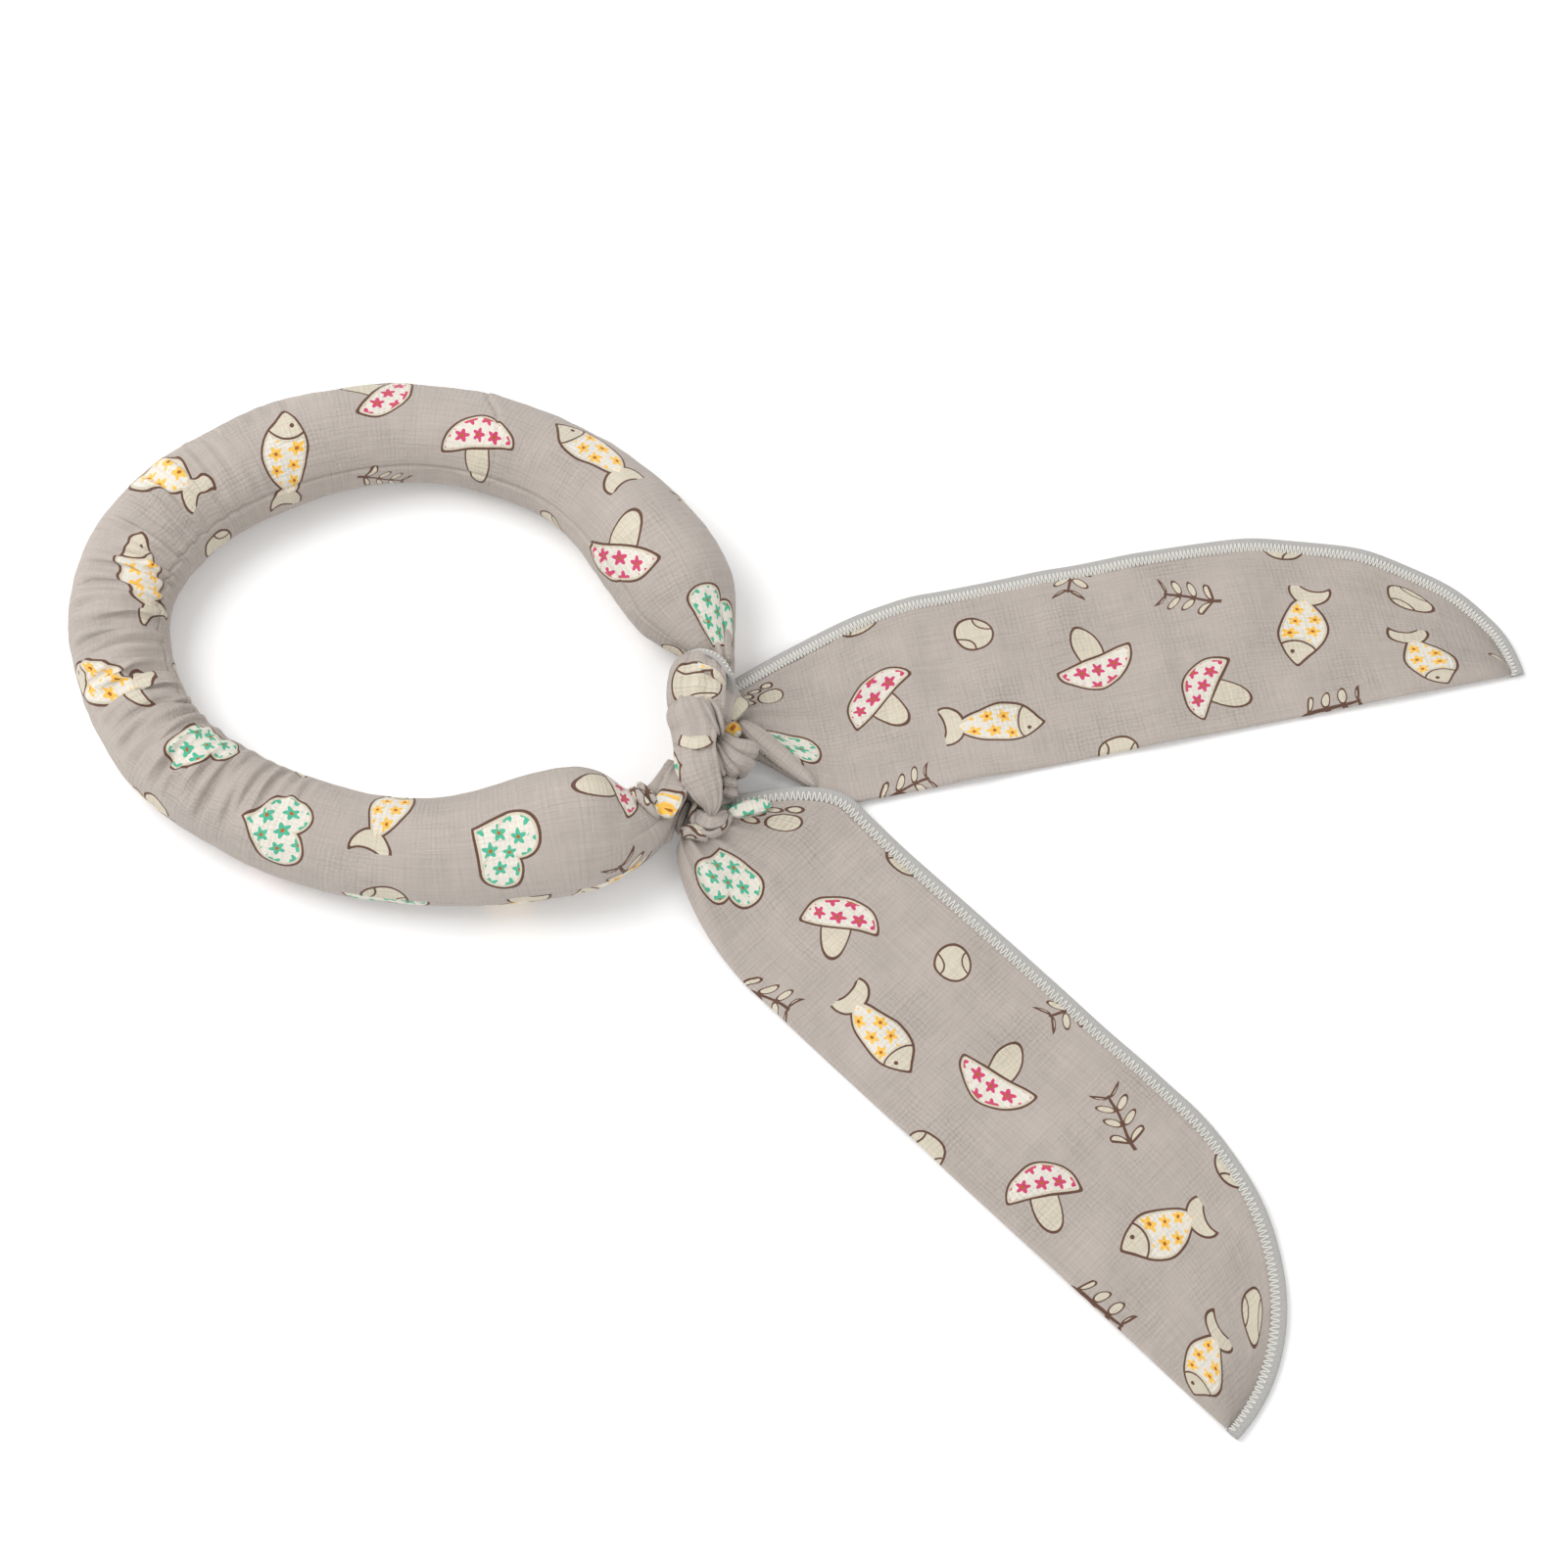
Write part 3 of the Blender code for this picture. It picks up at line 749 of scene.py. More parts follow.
# Ripples. Columns: distance along and across from the root, heading in degrees from the strip's
# length, half length, half width and height, all lengths in millimetres.
RIPPLES = {
    "upper": [
        (62, 6, 78, 24, 6, 1.4),
        (84, -8, 70, 30, 7, 1.1),
        (112, 10, 100, 22, 8, 1.5),
        (138, -4, 84, 28, 7, 1.2),
        (170, 8, 70, 24, 9, 1.4),
        (204, 2, 60, 20, 8, 1.0),
        (226, -22, 20, 22, 6, 0.8),
        (96, -24, 8, 30, 5, 0.8),
    ],
    "lower": [
        (58, -8, 84, 22, 7, 1.3),
        (86, 14, 66, 24, 7, 1.1),
        (112, -6, 105, 26, 8, 1.4),
        (146, 12, 78, 24, 8, 1.2),
        (176, -8, 60, 24, 9, 1.3),
        (204, 6, 96, 20, 8, 1.1),
        (126, 26, 6, 34, 5, 0.9),
    ],
}
# Pleats that fan out of a gathered root. Columns: place across the root and where it runs to, both as
# shares of the width there, its length in millimetres and its height in millimetres.
ROOT_PLEATS = {
    "upper": [
        (0.14, 0.10, 30, 1.6),
        (0.30, 0.22, 52, 2.2),
        (0.48, 0.46, 38, 2.0),
        (0.62, 0.66, 60, 2.4),
        (0.80, 0.84, 34, 1.6),
    ],
    "lower": [
        (0.10, 0.05, 46, 3.2),
        (0.26, 0.16, 34, 2.8),
        (0.42, 0.40, 58, 2.8),
        (0.60, 0.62, 32, 1.8),
        (0.78, 0.86, 44, 1.8),
    ],
}


def tail_ripple(key, along, across):
    """How far the cloth is lifted: long bells laid over the tail, and a little unevenness.

    A bell is exp of less the sum of two squares, the distances along and across its own heading over
    its half length and half width. A slow sine bows its middle line.
    """
    lift = np.zeros(np.broadcast(along, across).shape)
    for start, off, heading, half_length, half_width, height in RIPPLES[key]:
        turn = np.radians(heading)
        x = (along - start * MM) * np.cos(turn) + (across - off * MM) * np.sin(turn)
        y = -(along - start * MM) * np.sin(turn) + (across - off * MM) * np.cos(turn)
        bow = 0.1 * x * np.sin(x / (9 * MM) + start)
        bell = np.exp(-((x / (half_length * MM)) ** 2) - ((y + bow) / (half_width * MM)) ** 2)
        lift = lift + RIPPLE_LIFT * height * MM * bell
    place = np.stack(np.broadcast_arrays(along, across), -1)
    return lift + SOFT_LIFT * (1 + unevenness(place, TAILS[key]["seed"], 12, 18 * MM, 50 * MM))


def root_pleats(key, along, share):
    """Rounded pleats that fan out of the gathered root and die away: bells across the root's width."""
    lift = np.zeros(np.broadcast(along, share).shape)
    for start, end, length, height in ROOT_PLEATS[key]:
        reach = np.clip(along / (length * MM), 0, 1)
        middle = start + (end - start) * reach
        narrow = 0.050 + 0.020 * reach
        crest = np.exp(-(((share - middle) / narrow) ** 2))
        lift = lift + height * MM * crest * (1 - smooth_step(reach))
    return lift


def tail_lie(key, along, across, share):
    """The cloth's underside and its thickness: high and thick at the root, flat on the table beyond."""
    drop = 1 - smooth_step(along / (TAIL_DROP * STRIP_WIDTH))
    gather = 1 - smooth_step(along / (GATHER_FADE * STRIP_WIDTH))
    away = smooth_step(along / (30 * MM))
    under = ROOT_HEIGHT * drop + away * tail_ripple(key, along, across)
    thick = LAYERS + (ROOT_THICKNESS - LAYERS) * gather + root_pleats(key, along, share)
    return under, thick


print(len(RIPPLES["upper"]) + len(RIPPLES["lower"]), "ripples on the two tails")

# %% The tails' surface
TAIL_STATIONS = 320
TAIL_TOP = 92
TAIL_UNDER = 44
TAIL_CROWDING = 1.2
SEAM_INSET = 0.93
SEAM_THINNESS = 0.45
FOLD_PUFF = 0.7 * MM
FOLD_PUFF_WIDTH = 3.5 * MM
FINE_RELIEF = 0.10 * MM


def on_table(tail, along, across, height):
    """Strip distances turned to the tail's heading and moved to its root on the knot."""
    turn = np.radians(tail["heading"])
    x = tail["root"][0] * KNOT_WIDTH + along * np.cos(turn) - across * np.sin(turn)
    y = tail["root"][1] * KNOT_LENGTH + along * np.sin(turn) + across * np.cos(turn)
    return np.stack(np.broadcast_arrays(x, y, height), -1)


def tail_surface(key):
    """The tail's grid and flat places: over the top from the seam to the fold, and back underneath.

    The fold's edge is a quarter circle as high as the cloth is thick, and the cloth thins at the seam.
    """
    tail = TAILS[key]
    seam = hem_line(tail, EDGE_STATIONS, SEAM_INSET * HEM_WIDTH)
    stations = seam[-1, 0] * (1 - (1 - np.linspace(0, 1, TAIL_STATIONS)) ** TAIL_CROWDING)
    outer = tail_edges(tail, stations)[0]
    inner = np.interp(stations, seam[:, 0], seam[:, 1])
    inner = np.maximum(inner, outer + 0.6 * MM)
    top = 0.5 + 0.5 * np.cos(np.linspace(0, np.pi, TAIL_TOP))
    under = 0.5 - 0.5 * np.cos(np.linspace(0, np.pi, TAIL_UNDER + 2))[1:-1]
    share = np.concatenate([top, under])
    is_top = np.arange(len(share)) < TAIL_TOP
    along = stations[:, None]
    across = outer[:, None] + (inner - outer)[:, None] * share
    base, thick = tail_lie(key, along, across, share[None, :])
    from_fold = across - outer[:, None]
    from_seam = inner[:, None] - across
    puff = FOLD_PUFF * np.exp(-((from_fold / FOLD_PUFF_WIDTH) ** 2)) * smooth_step(along / (40 * MM))
    thick = thick + puff
    near = 1 - np.clip(from_fold / (0.8 * thick), 0, 1)
    round_fold = np.sqrt(np.clip(1 - near**2, 0, 1))
    thin_seam = SEAM_THINNESS + (1 - SEAM_THINNESS) * smooth_step(from_seam / (2 * MM))
    half = thick / 2 * round_fold * thin_seam
    middle = base + thick / 2
    place = np.stack(np.broadcast_arrays(along, across), -1)
    fine = FINE_RELIEF * unevenness(place, 31, 24, 4 * MM, 10 * MM)
    height = np.where(is_top, middle + half + fine * round_fold, middle - half)
    grid = on_table(tail, along, across, np.maximum(height, 0))
    around = np.append(np.where(is_top, share, -share) * STRIP_WIDTH, -STRIP_WIDTH)
    return grid, flat_places(stations, around)


print("a tail has", TAIL_STATIONS, "sections of", TAIL_TOP + TAIL_UNDER, "points")

# %% [markdown]
# ## The overlocked edges
#
# An overlocker trims the two layers, wraps thread round the raw edge and chains it along a row of
# needle stitches. The outer half of the edge shows as a smooth low band. Over the inner half lies one
# looper thread that zigzags between the band's crest and the needle row, so it is one long tube on a
# zigzag path.

# %% The overlocked edges
HEM_STATIONS = 700
HEM_POINTS = 20
HEM_THICKNESS = 2.0 * MM
HEM_SQUARENESS = 2.6
# The hem's middle lies at this share of the cloth's thickness, less what it is pressed into it.
HEM_RIDE = 0.725
HEM_PRESS = 0.35 * MM
# The first stations are inside the knot, where the hem isn't seen, and are left out.
HIDDEN_BAND = 2
HIDDEN_THREAD = 10


def hem_path(key, stations, inset):
    """A line along the hem, lying on the tail's own height there."""
    tail = TAILS[key]
    along, across = hem_line(tail, stations, inset).T
    under, thick = tail_lie(key, along, across, 1.0)
    return on_table(tail, along, across, under + HEM_RIDE * thick - HEM_PRESS)


def banded(path, up, width, thickness):
    """A flat band along a path: a boxy superellipse of one size, and its flat places."""
    sizes = np.ones(len(path))
    grid = sections(path, up, width * sizes, thickness * sizes, HEM_POINTS, HEM_SQUARENESS)
    around = np.arange(HEM_POINTS + 1) / HEM_POINTS * 2 * width
    return grid, flat_places(distance_along(path), around)


def hem_band(key):
    """The wrapped raw edge along a tail."""
    path = hem_path(key, HEM_STATIONS, HEM_WIDTH / 2)[HIDDEN_BAND:]
    grid, flat = banded(path, UP, HEM_WIDTH, HEM_THICKNESS)
    return above_table(grid), flat


print("a hem's band has", HEM_STATIONS - HIDDEN_BAND, "sections of", HEM_POINTS, "points")

# %% The looper thread
THREAD = 0.46 * MM
THREAD_SIDES = 6
STATIONS_IN_A_STITCH = 12
# The curved hem is about this much longer than its tail.
HEM_OVER_TAIL = 1.04
# How far the thread reaches, as shares of half the band's width from its middle outwards.
NEAR_TURN, FAR_TURN = -0.10, 1.12


def thread_grid(path):
    """A round thread along a path, and its flat places."""
    size = np.full(len(path), THREAD)
    grid = sections(path, UP, size, size, THREAD_SIDES)
    around = np.arange(THREAD_SIDES + 1) / THREAD_SIDES * np.pi * THREAD
    return grid, flat_places(distance_along(path), around)


def zigzag(middle, up, width, thickness, stitch, near, far):
    """A thread laid to and fro on a band.

    Its place across the band swings as a sine of the distance, with flattened turns at the outer side
    and sharper ones at the needle row, from near to far as shares of half the width. Its height is
    that of the band's own rounded section there, and beyond the band it rests on the cloth.
    """
    side, outward = square_to(middle, up)
    phase = 2 * np.pi * (distance_along(middle) / stitch)
    swing = 0.5 + 0.5 * np.sin(phase + 0.35 * np.cos(phase))
    across = near + (far - near) * swing
    over = np.clip(1 - np.abs(across) ** HEM_SQUARENESS, 0.10, 1) ** (1 / HEM_SQUARENESS)
    lift = thickness / 2 * over + 0.25 * THREAD
    path = middle + side * (width / 2 * across)[:, None] + outward * lift[:, None]
    return thread_grid(path)


def stitch_count(key):
    """How many whole stitches go into a hem: its length over a stitch's."""
    return int(TAILS[key]["length"] * HEM_OVER_TAIL / TAILS[key]["stitch"])


def hem_thread(key):
    """The looper thread along a tail's hem."""
    middle = hem_path(key, STATIONS_IN_A_STITCH * stitch_count(key), HEM_WIDTH / 2)[HIDDEN_THREAD:]
    return zigzag(middle, UP, HEM_WIDTH, HEM_THICKNESS, TAILS[key]["stitch"], NEAR_TURN, FAR_TURN)


print("stitches along the hems:", [stitch_count(key) for key in TAILS])

# %% [markdown]
# ## The knot
#
# The knot is a few stretches of the same strip, squeezed to strands: a band that comes over the top and
# down the front to a tongue, the strand beneath it that swells out at the right, and the rolled fold at
# the foot. Three plain strands stand for those. What the eye reads are the folds that lie on them, one
# over the next with a dark line between. A groove pressed into one surface never gives that line, so
# each fold is a strand of its own: a flattened section along a short path.

# %% The three plain strands
# Columns: x in knot widths, y in knot lengths, height in knot heights, width in knot widths, thickness
# in millimetres.
BAND = [
    (0.060, 0.330, 0.20, 0.36, 5.0),
    (-0.030, 0.450, 0.30, 0.44, 5.6),
    (-0.090, 0.470, 0.50, 0.50, 6.0),
    (-0.150, 0.370, 0.72, 0.56, 6.4),
    (-0.160, 0.200, 0.81, 0.56, 6.2),
    (-0.150, 0.000, 0.81, 0.44, 5.8),
    (-0.130, -0.110, 0.79, 0.38, 5.8),
    (-0.100, -0.260, 0.68, 0.40, 6.4),
    (-0.040, -0.370, 0.50, 0.26, 5.4),
    (-0.010, -0.430, 0.36, 0.10, 3.0),
]
BULGE = [
    (-0.330, -0.020, 0.42, 0.36, 11),
    (-0.200, -0.050, 0.43, 0.46, 14),
    (-0.020, -0.075, 0.44, 0.48, 14.5),
    (0.150, -0.090, 0.44, 0.44, 14),
    (0.290, -0.095, 0.43, 0.38, 13),
    (0.390, -0.090, 0.42, 0.30, 10),
    (0.440, -0.085, 0.42, 0.16, 5.5),
]
TUCK = [
    (-0.350, -0.430, 0.24, 0.22, 6.0),
    (-0.230, -0.460, 0.25, 0.30, 8.0),
    (-0.020, -0.455, 0.25, 0.30, 8.0),
    (0.170, -0.400, 0.23, 0.24, 7),
    (0.330, -0.350, 0.20, 0.14, 5.0),
]
STRAND_STATIONS = 200
STRAND_POINTS = 72
STRAND_SQUARENESS = 2.3


def strand(rows, up, squareness=STRAND_SQUARENESS):
    """A closed strand along its table's rows, as a grid and its flat places, with rounded ends.

    Rows are x, y, height, width and thickness in metres. Both sizes close towards an end as the root
    of one less the tenth power of the way from the middle.
    """
    read = through(rows, STRAND_STATIONS)
    path, width, thickness = read[:, :3], read[:, 3], read[:, 4]
    closing = np.sqrt(np.clip(1 - np.linspace(-1, 1, STRAND_STATIONS) ** 10, 0.02, 1))
    grid = sections(path, up(path), width * closing, thickness * closing, STRAND_POINTS, squareness)
    girth = np.pi * 0.5 * (width.max() + thickness.max())
    around = np.arange(STRAND_POINTS + 1) / STRAND_POINTS * girth
    return grid, flat_places(distance_along(path), around)


def in_knot_rows(rows):
    """The three tables' rows in metres: shares times the knot's sizes, and thickness in millimetres."""
    return [(*in_knot(row), row[3] * KNOT_WIDTH, row[4] * MM) for row in rows]


def away_from_middle(path):
    """The flat side faces the knot's middle all the way round."""
    middle = np.array([0.0, 0.0, 0.45 * KNOT_HEIGHT])
    return (path - middle) * (0.3, 1, 1)


def straight_up(path):
    """The flat side faces up, wherever the path is."""
    return UP


print("three strands of", STRAND_STATIONS, "sections each stand for the knot's stretches")

# %% [markdown]
# ## The knot's folds
#
# Each fold's table follows one fold of the photo, at the height of what carries it. Long faint lines
# run along a fold, because the cloth is pulled along it. Turns with the same columns fill the knot where
# the camera doesn't look, because a real knot is closed all round.

# %% The folds' tables
# Columns: x, y and height from the knot's centre on the table, width and thickness, in millimetres.
KNOT_FOLDS = {
    "upper_fold_of_the_band": [
        (-3.1, 27.8, 18.5, 7.1, 5.0),
        (-3.3, 22.8, 22.6, 13.9, 6.0),
        (-3.8, 16.1, 24.6, 16.9, 6.5),
        (-4.0, 9.6, 24.4, 17.1, 6.0),
        (-3.1, 3.6, 23.4, 14.6, 5.0),
        (-1.7, -0.7, 22.0, 10.5, 4.0),
    ],
    "band_to_the_tongue": [
        (-8.1, 10.2, 25.6, 6.8, 3.5),
        (-7.3, 8.1, 26.3, 10.9, 4.5),
        (-6.0, 4.5, 26.7, 13.9, 5.0),
        (-4.6, 0.6, 26.3, 13.9, 5.0),
        (-4.3, -2.1, 25.9, 13.5, 5.0),
        (-4.2, -5.5, 25.5, 12.4, 5.0),
        (-3.8, -9.3, 24.9, 12.8, 5.2),
        (-3.1, -12.9, 23.9, 12.7, 5.4),
        (-1.7, -16.2, 22.4, 11.2, 5.2),
        (-0.1, -19.7, 20.2, 8.3, 4.6),
        (0.7, -22.3, 17.9, 5.5, 3.8),
        (0.6, -24.0, 16.3, 3.2, 3.0),
        (0.5, -24.7, 15.6, 1.9, 2.4),
    ],
    "pinched_fold_left": [
        (-3.3, 9.1, 26.8, 0.9, 2.4),
        (-1.5, 6.3, 28.0, 1.6, 4.2),
        (0.3, 2.9, 28.2, 1.7, 4.6),
        (1.8, -0.3, 27.2, 1.5, 4.0),
        (2.9, -2.6, 25.4, 0.8, 2.4),
    ],
    "pinched_fold_right": [
        (0.6, 8.0, 26.4, 0.9, 2.8),
        (2.7, 4.2, 26.9, 1.6, 4.4),
        (3.6, 0.8, 25.8, 1.6, 4.2),
        (4.0, -2.0, 24.0, 0.9, 2.6),
    ],
    "rolled_fold_by_the_hem": [
        (-5.3, 21.9, 24.6, 1.1, 1.8),
        (-2.8, 19.7, 26.9, 2.2, 2.8),
        (0.5, 17.6, 27.6, 2.5, 3.2),
        (3.1, 15.6, 26.4, 2.2, 3.0),
        (4.7, 13.9, 24.0, 1.3, 2.2),
    ],
    "bulge_fold_top": [
        (2.4, 0.1, 20.0, 2.2, 4.0),
        (5.0, -1.6, 19.6, 3.9, 6.0),
        (7.9, -3.4, 18.6, 5.6, 8.0),
        (10.7, -3.9, 16.6, 6.6, 9.0),
        (12.9, -3.9, 14.4, 4.9, 8.0),
    ],
    "bulge_fold_middle": [
        (2.7, -1.6, 20.0, 1.7, 3.4),
        (5.0, -4.8, 20.0, 3.4, 5.5),
        (7.6, -7.7, 19.2, 4.7, 7.5),
        (10.2, -8.5, 17.0, 4.7, 7.5),
        (12.0, -8.4, 15.0, 3.6, 6.5),
    ],
    "bulge_fold_low": [
        (2.1, -3.1, 20.6, 1.3, 3.0),
        (3.9, -7.3, 20.6, 2.8, 4.8),
        (5.8, -10.2, 19.0, 3.6, 6.0),
        (7.7, -11.4, 17.0, 3.2, 5.5),
    ],
    "bulge_fold_by_the_band": [
        (1.8, -5.8, 21.8, 0.9, 2.4),
        (2.9, -9.9, 21.0, 1.9, 3.4),
        (4.3, -12.9, 19.0, 1.9, 3.6),
    ],
    "small_fold_upper": [
        (3.1, -12.5, 16.0, 2.2, 3.4),
        (5.0, -13.5, 16.2, 2.9, 4.0),
        (6.8, -13.8, 15.0, 2.8, 3.6),
        (7.9, -13.6, 13.4, 1.6, 2.8),
    ],
    "small_fold_lower": [
        (3.1, -15.0, 13.4, 2.2, 3.4),
        (5.0, -15.7, 13.6, 3.2, 4.0),
        (6.8, -16.0, 12.6, 3.0, 3.6),
        (7.8, -16.0, 11.2, 1.6, 2.8),
    ],
    "pillow_under_the_tongue": [
        (-4.2, -22.0, 13.7, 2.2, 3.0),
        (-2.5, -24.6, 14.1, 5.2, 4.2),
        (0.4, -25.8, 14.1, 6.0, 4.6),
        (3.2, -24.1, 13.0, 5.2, 4.2),
        (5.4, -22.3, 13.3, 2.2, 3.0),
    ],
    "rim_of_the_tuck": [
        (6.8, -21.2, 12.8, 1.4, 2.4),
        (6.0, -24.4, 12.2, 1.8, 2.8),
        (3.5, -27.8, 12.6, 1.9, 3.0),
        (0.3, -30.3, 14.3, 1.9, 3.0),
        (-2.8, -29.2, 14.7, 1.6, 2.8),
        (-4.7, -26.6, 14.9, 1.1, 2.4),
    ],
    "left_arm_of_the_tuck": [
        (-3.3, -18.4, 14.5, 1.3, 2.4),
        (-4.4, -21.1, 14.4, 1.6, 3.0),
        (-5.1, -24.8, 15.4, 1.8, 3.2),
        (-4.9, -27.6, 14.9, 1.1, 2.4),
    ],
    "flat_fold_at_the_foot": [
        (-8.4, -29.7, 12.9, 2.2, 2.6),
        (-6.1, -29.4, 14.8, 3.9, 3.6),
        (-3.2, -29.9, 14.3, 3.9, 3.4),
        (-0.3, -31.6, 13.8, 1.7, 2.4),
    ],
    "deep_fold_at_the_left": [
        (-6.3, -18.5, 12.0, 1.7, 3.0),
        (-7.8, -22.2, 11.4, 2.3, 3.6),
        (-9.0, -26.0, 10.8, 2.1, 3.4),
        (-9.3, -28.5, 10.0, 1.3, 2.6),
    ],
    "end_pleat_of_the_roll": [
        (-10.7, -26.1, 12.0, 1.3, 2.4),
        (-11.9, -29.1, 11.4, 2.0, 3.2),
        (-13.4, -31.4, 10.4, 1.6, 2.8),
    ],
    "rolled_edge_of_the_lower_tail": [
        (5.6, -22.4, 12.7, 2.5, 2.8),
        (8.3, -21.8, 12.5, 4.4, 3.4),
        (12.0, -20.7, 12.1, 5.0, 3.4),
        (16.1, -19.1, 10.4, 4.6, 3.0),
        (18.5, -18.4, 10.1, 3.1, 2.4),
    ],
    "root_fold_of_the_upper_tail": [
        (4.2, 7.1, 14.9, 3.4, 3.2),
        (6.1, 9.4, 15.2, 5.4, 4.0),
        (8.2, 11.9, 14.7, 5.6, 3.8),
        (10.4, 15.7, 12.0, 3.1, 2.4),
    ],
    "lower_root_fold_of_the_upper_tail": [
        (3.9, 6.8, 13.5, 3.4, 3.0),
        (6.3, 5.3, 13.4, 4.7, 3.6),
        (9.1, 3.5, 12.5, 3.8, 2.8),
    ],
    "flap_along_the_upper_tail": [
        (8.9, 7.5, 13.7, 2.2, 2.4),
        (11.5, 5.3, 13.3, 4.4, 2.6),
        (16.0, 2.1, 11.3, 6.0, 2.4),
        (20.9, -1.4, 9.2, 5.6, 2.2),
        (26.1, -5.5, 7.6, 4.4, 1.8),
        (30.6, -9.4, 6.4, 2.5, 1.4),
        (32.5, -11.0, 5.8, 1.0, 1.0),
    ],
    "strand_from_the_lower_neck": [
        (-7.9, -9.2, 19.4, 7.1, 2.0),
        (-9.2, -13.3, 20.0, 8.4, 2.4),
        (-10.6, -18.0, 20.6, 8.8, 2.6),
        (-12.4, -22.9, 21.1, 8.6, 2.4),
        (-14.2, -27.2, 21.5, 7.5, 1.8),
    ],
    "small_pleat_of_the_lower_neck": [
        (-23.3, -15.5, 13.9, 1.9, 1.8),
        (-20.8, -22.0, 24.3, 2.8, 2.6),
        (-18.8, -24.4, 24.5, 2.8, 2.8),
        (-16.9, -26.5, 23.9, 2.2, 2.4),
        (-15.1, -28.1, 22.2, 1.5, 1.8),
    ],
    "second_pleat_of_the_lower_neck": [
        (-21.3, -13.5, 14.1, 1.5, 1.6),
        (-19.1, -18.8, 21.5, 2.3, 2.2),
        (-17.2, -21.3, 22.1, 2.3, 2.4),
        (-15.5, -23.8, 22.3, 1.7, 2.0),
    ],
    "waist_fold_of_the_band": [
        (-10.5, -2.9, 24.6, 2.6, 1.6),
        (-8.1, -4.7, 26.9, 4.2, 2.2),
        (-5.2, -5.9, 27.7, 4.6, 2.4),
        (-2.2, -5.9, 27.6, 4.4, 2.4),
        (0.3, -4.8, 26.6, 3.4, 2.2),
        (1.7, -3.5, 25.0, 1.9, 1.4),
    ],
    "pleat_of_the_upper_neck": [
        (4.9, 40.6, 17.0, 2.2, 4.0),
        (4.6, 35.1, 18.0, 3.2, 4.5),
        (4.9, 29.9, 18.4, 3.4, 4.5),
        (5.6, 25.0, 18.2, 2.6, 4.0),
    ],
    "narrow_pleat_of_the_upper_neck": [
        (1.4, 35.1, 19.6, 1.5, 3.0),
        (2.2, 29.9, 20.0, 2.3, 3.6),
        (3.1, 25.8, 20.0, 1.9, 3.2),
    ],
}
# The hem over the knot. Columns: x, y and height, in millimetres.
KNOT_HEM = [
    (-6.8, 26.6, 19.6),
    (-3.4, 26.6, 22.4),
    (0.4, 25.1, 24.2),
    (3.6, 22.4, 24.6),
    (5.6, 19.1, 23.6),
    (6.2, 16.8, 20.6),
    (5.8, 15.0, 17.0),
    (4.7, 14.1, 13.0),
]
KNOT_HEM_WIDTH = 3.2 * MM
KNOT_HEM_THICKNESS = 1.7 * MM
# The turns inside the knot, with the folds' columns.
INNER_TURNS = {
    "turn_under_the_band": [
        (-9.0, 11.5, 11.0, 12.0, 15.0),
        (-5.0, 12.0, 11.4, 18.0, 20.0),
        (0.0, 12.5, 11.4, 19.0, 20.5),
        (3.6, 11.5, 8.6, 15.0, 14.0),
        (6.5, 9.8, 5.4, 10.0, 6.5),
        (9.0, 9.2, 4.4, 7.0, 4.0),
    ],
    "turn_on_the_inner_side": [
        (1.5, 25.0, 11.5, 8.0, 9.0),
        (-3.0, 20.5, 11.0, 8.5, 12.0),
        (-5.8, 13.0, 10.0, 8.8, 14.5),
        (-6.2, 5.0, 9.0, 8.6, 15.0),
        (-5.4, -4.0, 7.6, 8.6, 13.0),
        (-3.0, -12.0, 6.0, 8.5, 10.0),
        (1.0, -18.0, 5.0, 7.0, 7.0),
    ],
    "upper_turn_on_the_inner_side": [
        (1.5, 23.0, 15.5, 7.0, 8.0),
        (-3.5, 18.5, 16.5, 7.5, 9.0),
        (-6.2, 11.0, 16.5, 7.6, 9.5),
        (-6.6, 3.0, 15.5, 7.6, 10.0),
        (-6.4, -5.0, 13.0, 7.6, 10.0),
        (-5.5, -12.0, 10.0, 7.5, 9.0),
        (-4.0, -18.0, 7.0, 6.0, 7.0),
    ],
    "turn_above_the_foot": [
        (-8.0, -14.0, 8.0, 9.0, 11.0),
        (-4.0, -14.5, 8.0, 12.0, 13.0),
        (1.0, -14.0, 7.4, 12.0, 12.5),
        (5.0, -12.5, 6.4, 10.0, 10.0),
        (8.0, -11.5, 5.4, 7.0, 7.0),
    ],
}
# How boxy the section is where a fold lies flat. The others have the plain strands' squareness.
FLAT_FOLDS = {
    "flap_along_the_upper_tail": 4.0,
    "rolled_edge_of_the_lower_tail": 3.0,
    "root_fold_of_the_upper_tail": 3.4,
    "lower_root_fold_of_the_upper_tail": 3.0,
    "flat_fold_at_the_foot": 3.0,
    "strand_from_the_lower_neck": 4.5,
    "waist_fold_of_the_band": 3.0,
}
# The place on the printed cloth that a fold's middle is cut from, in millimetres.
PRINT_PLACES = {
    "upper_fold_of_the_band": (51.0, 69.0),
    "waist_fold_of_the_band": (118.2, 36.8),
    "bulge_fold_top": (237.0, 60.0),
    "bulge_fold_middle": (174.0, 58.0),
    "bulge_fold_low": (237.0, 60.0),
    "bulge_fold_by_the_band": (174.0, 58.0),
    "bulge_beside_the_band": (51.0, 59.5),
    "lower_root_fold_of_the_upper_tail": (219.6, 89.6),
    "flap_along_the_upper_tail": (51.0, 59.5),
    "strand_from_the_lower_neck": (106.4, 97.5),
    "root_fold_of_the_upper_tail": (256.4, 66.0),
    "rolled_edge_of_the_lower_tail": (85.0, 87.0),
    "small_pleat_of_the_lower_neck": (120.0, 65.0),
    "second_pleat_of_the_lower_neck": (152.0, 50.0),
}
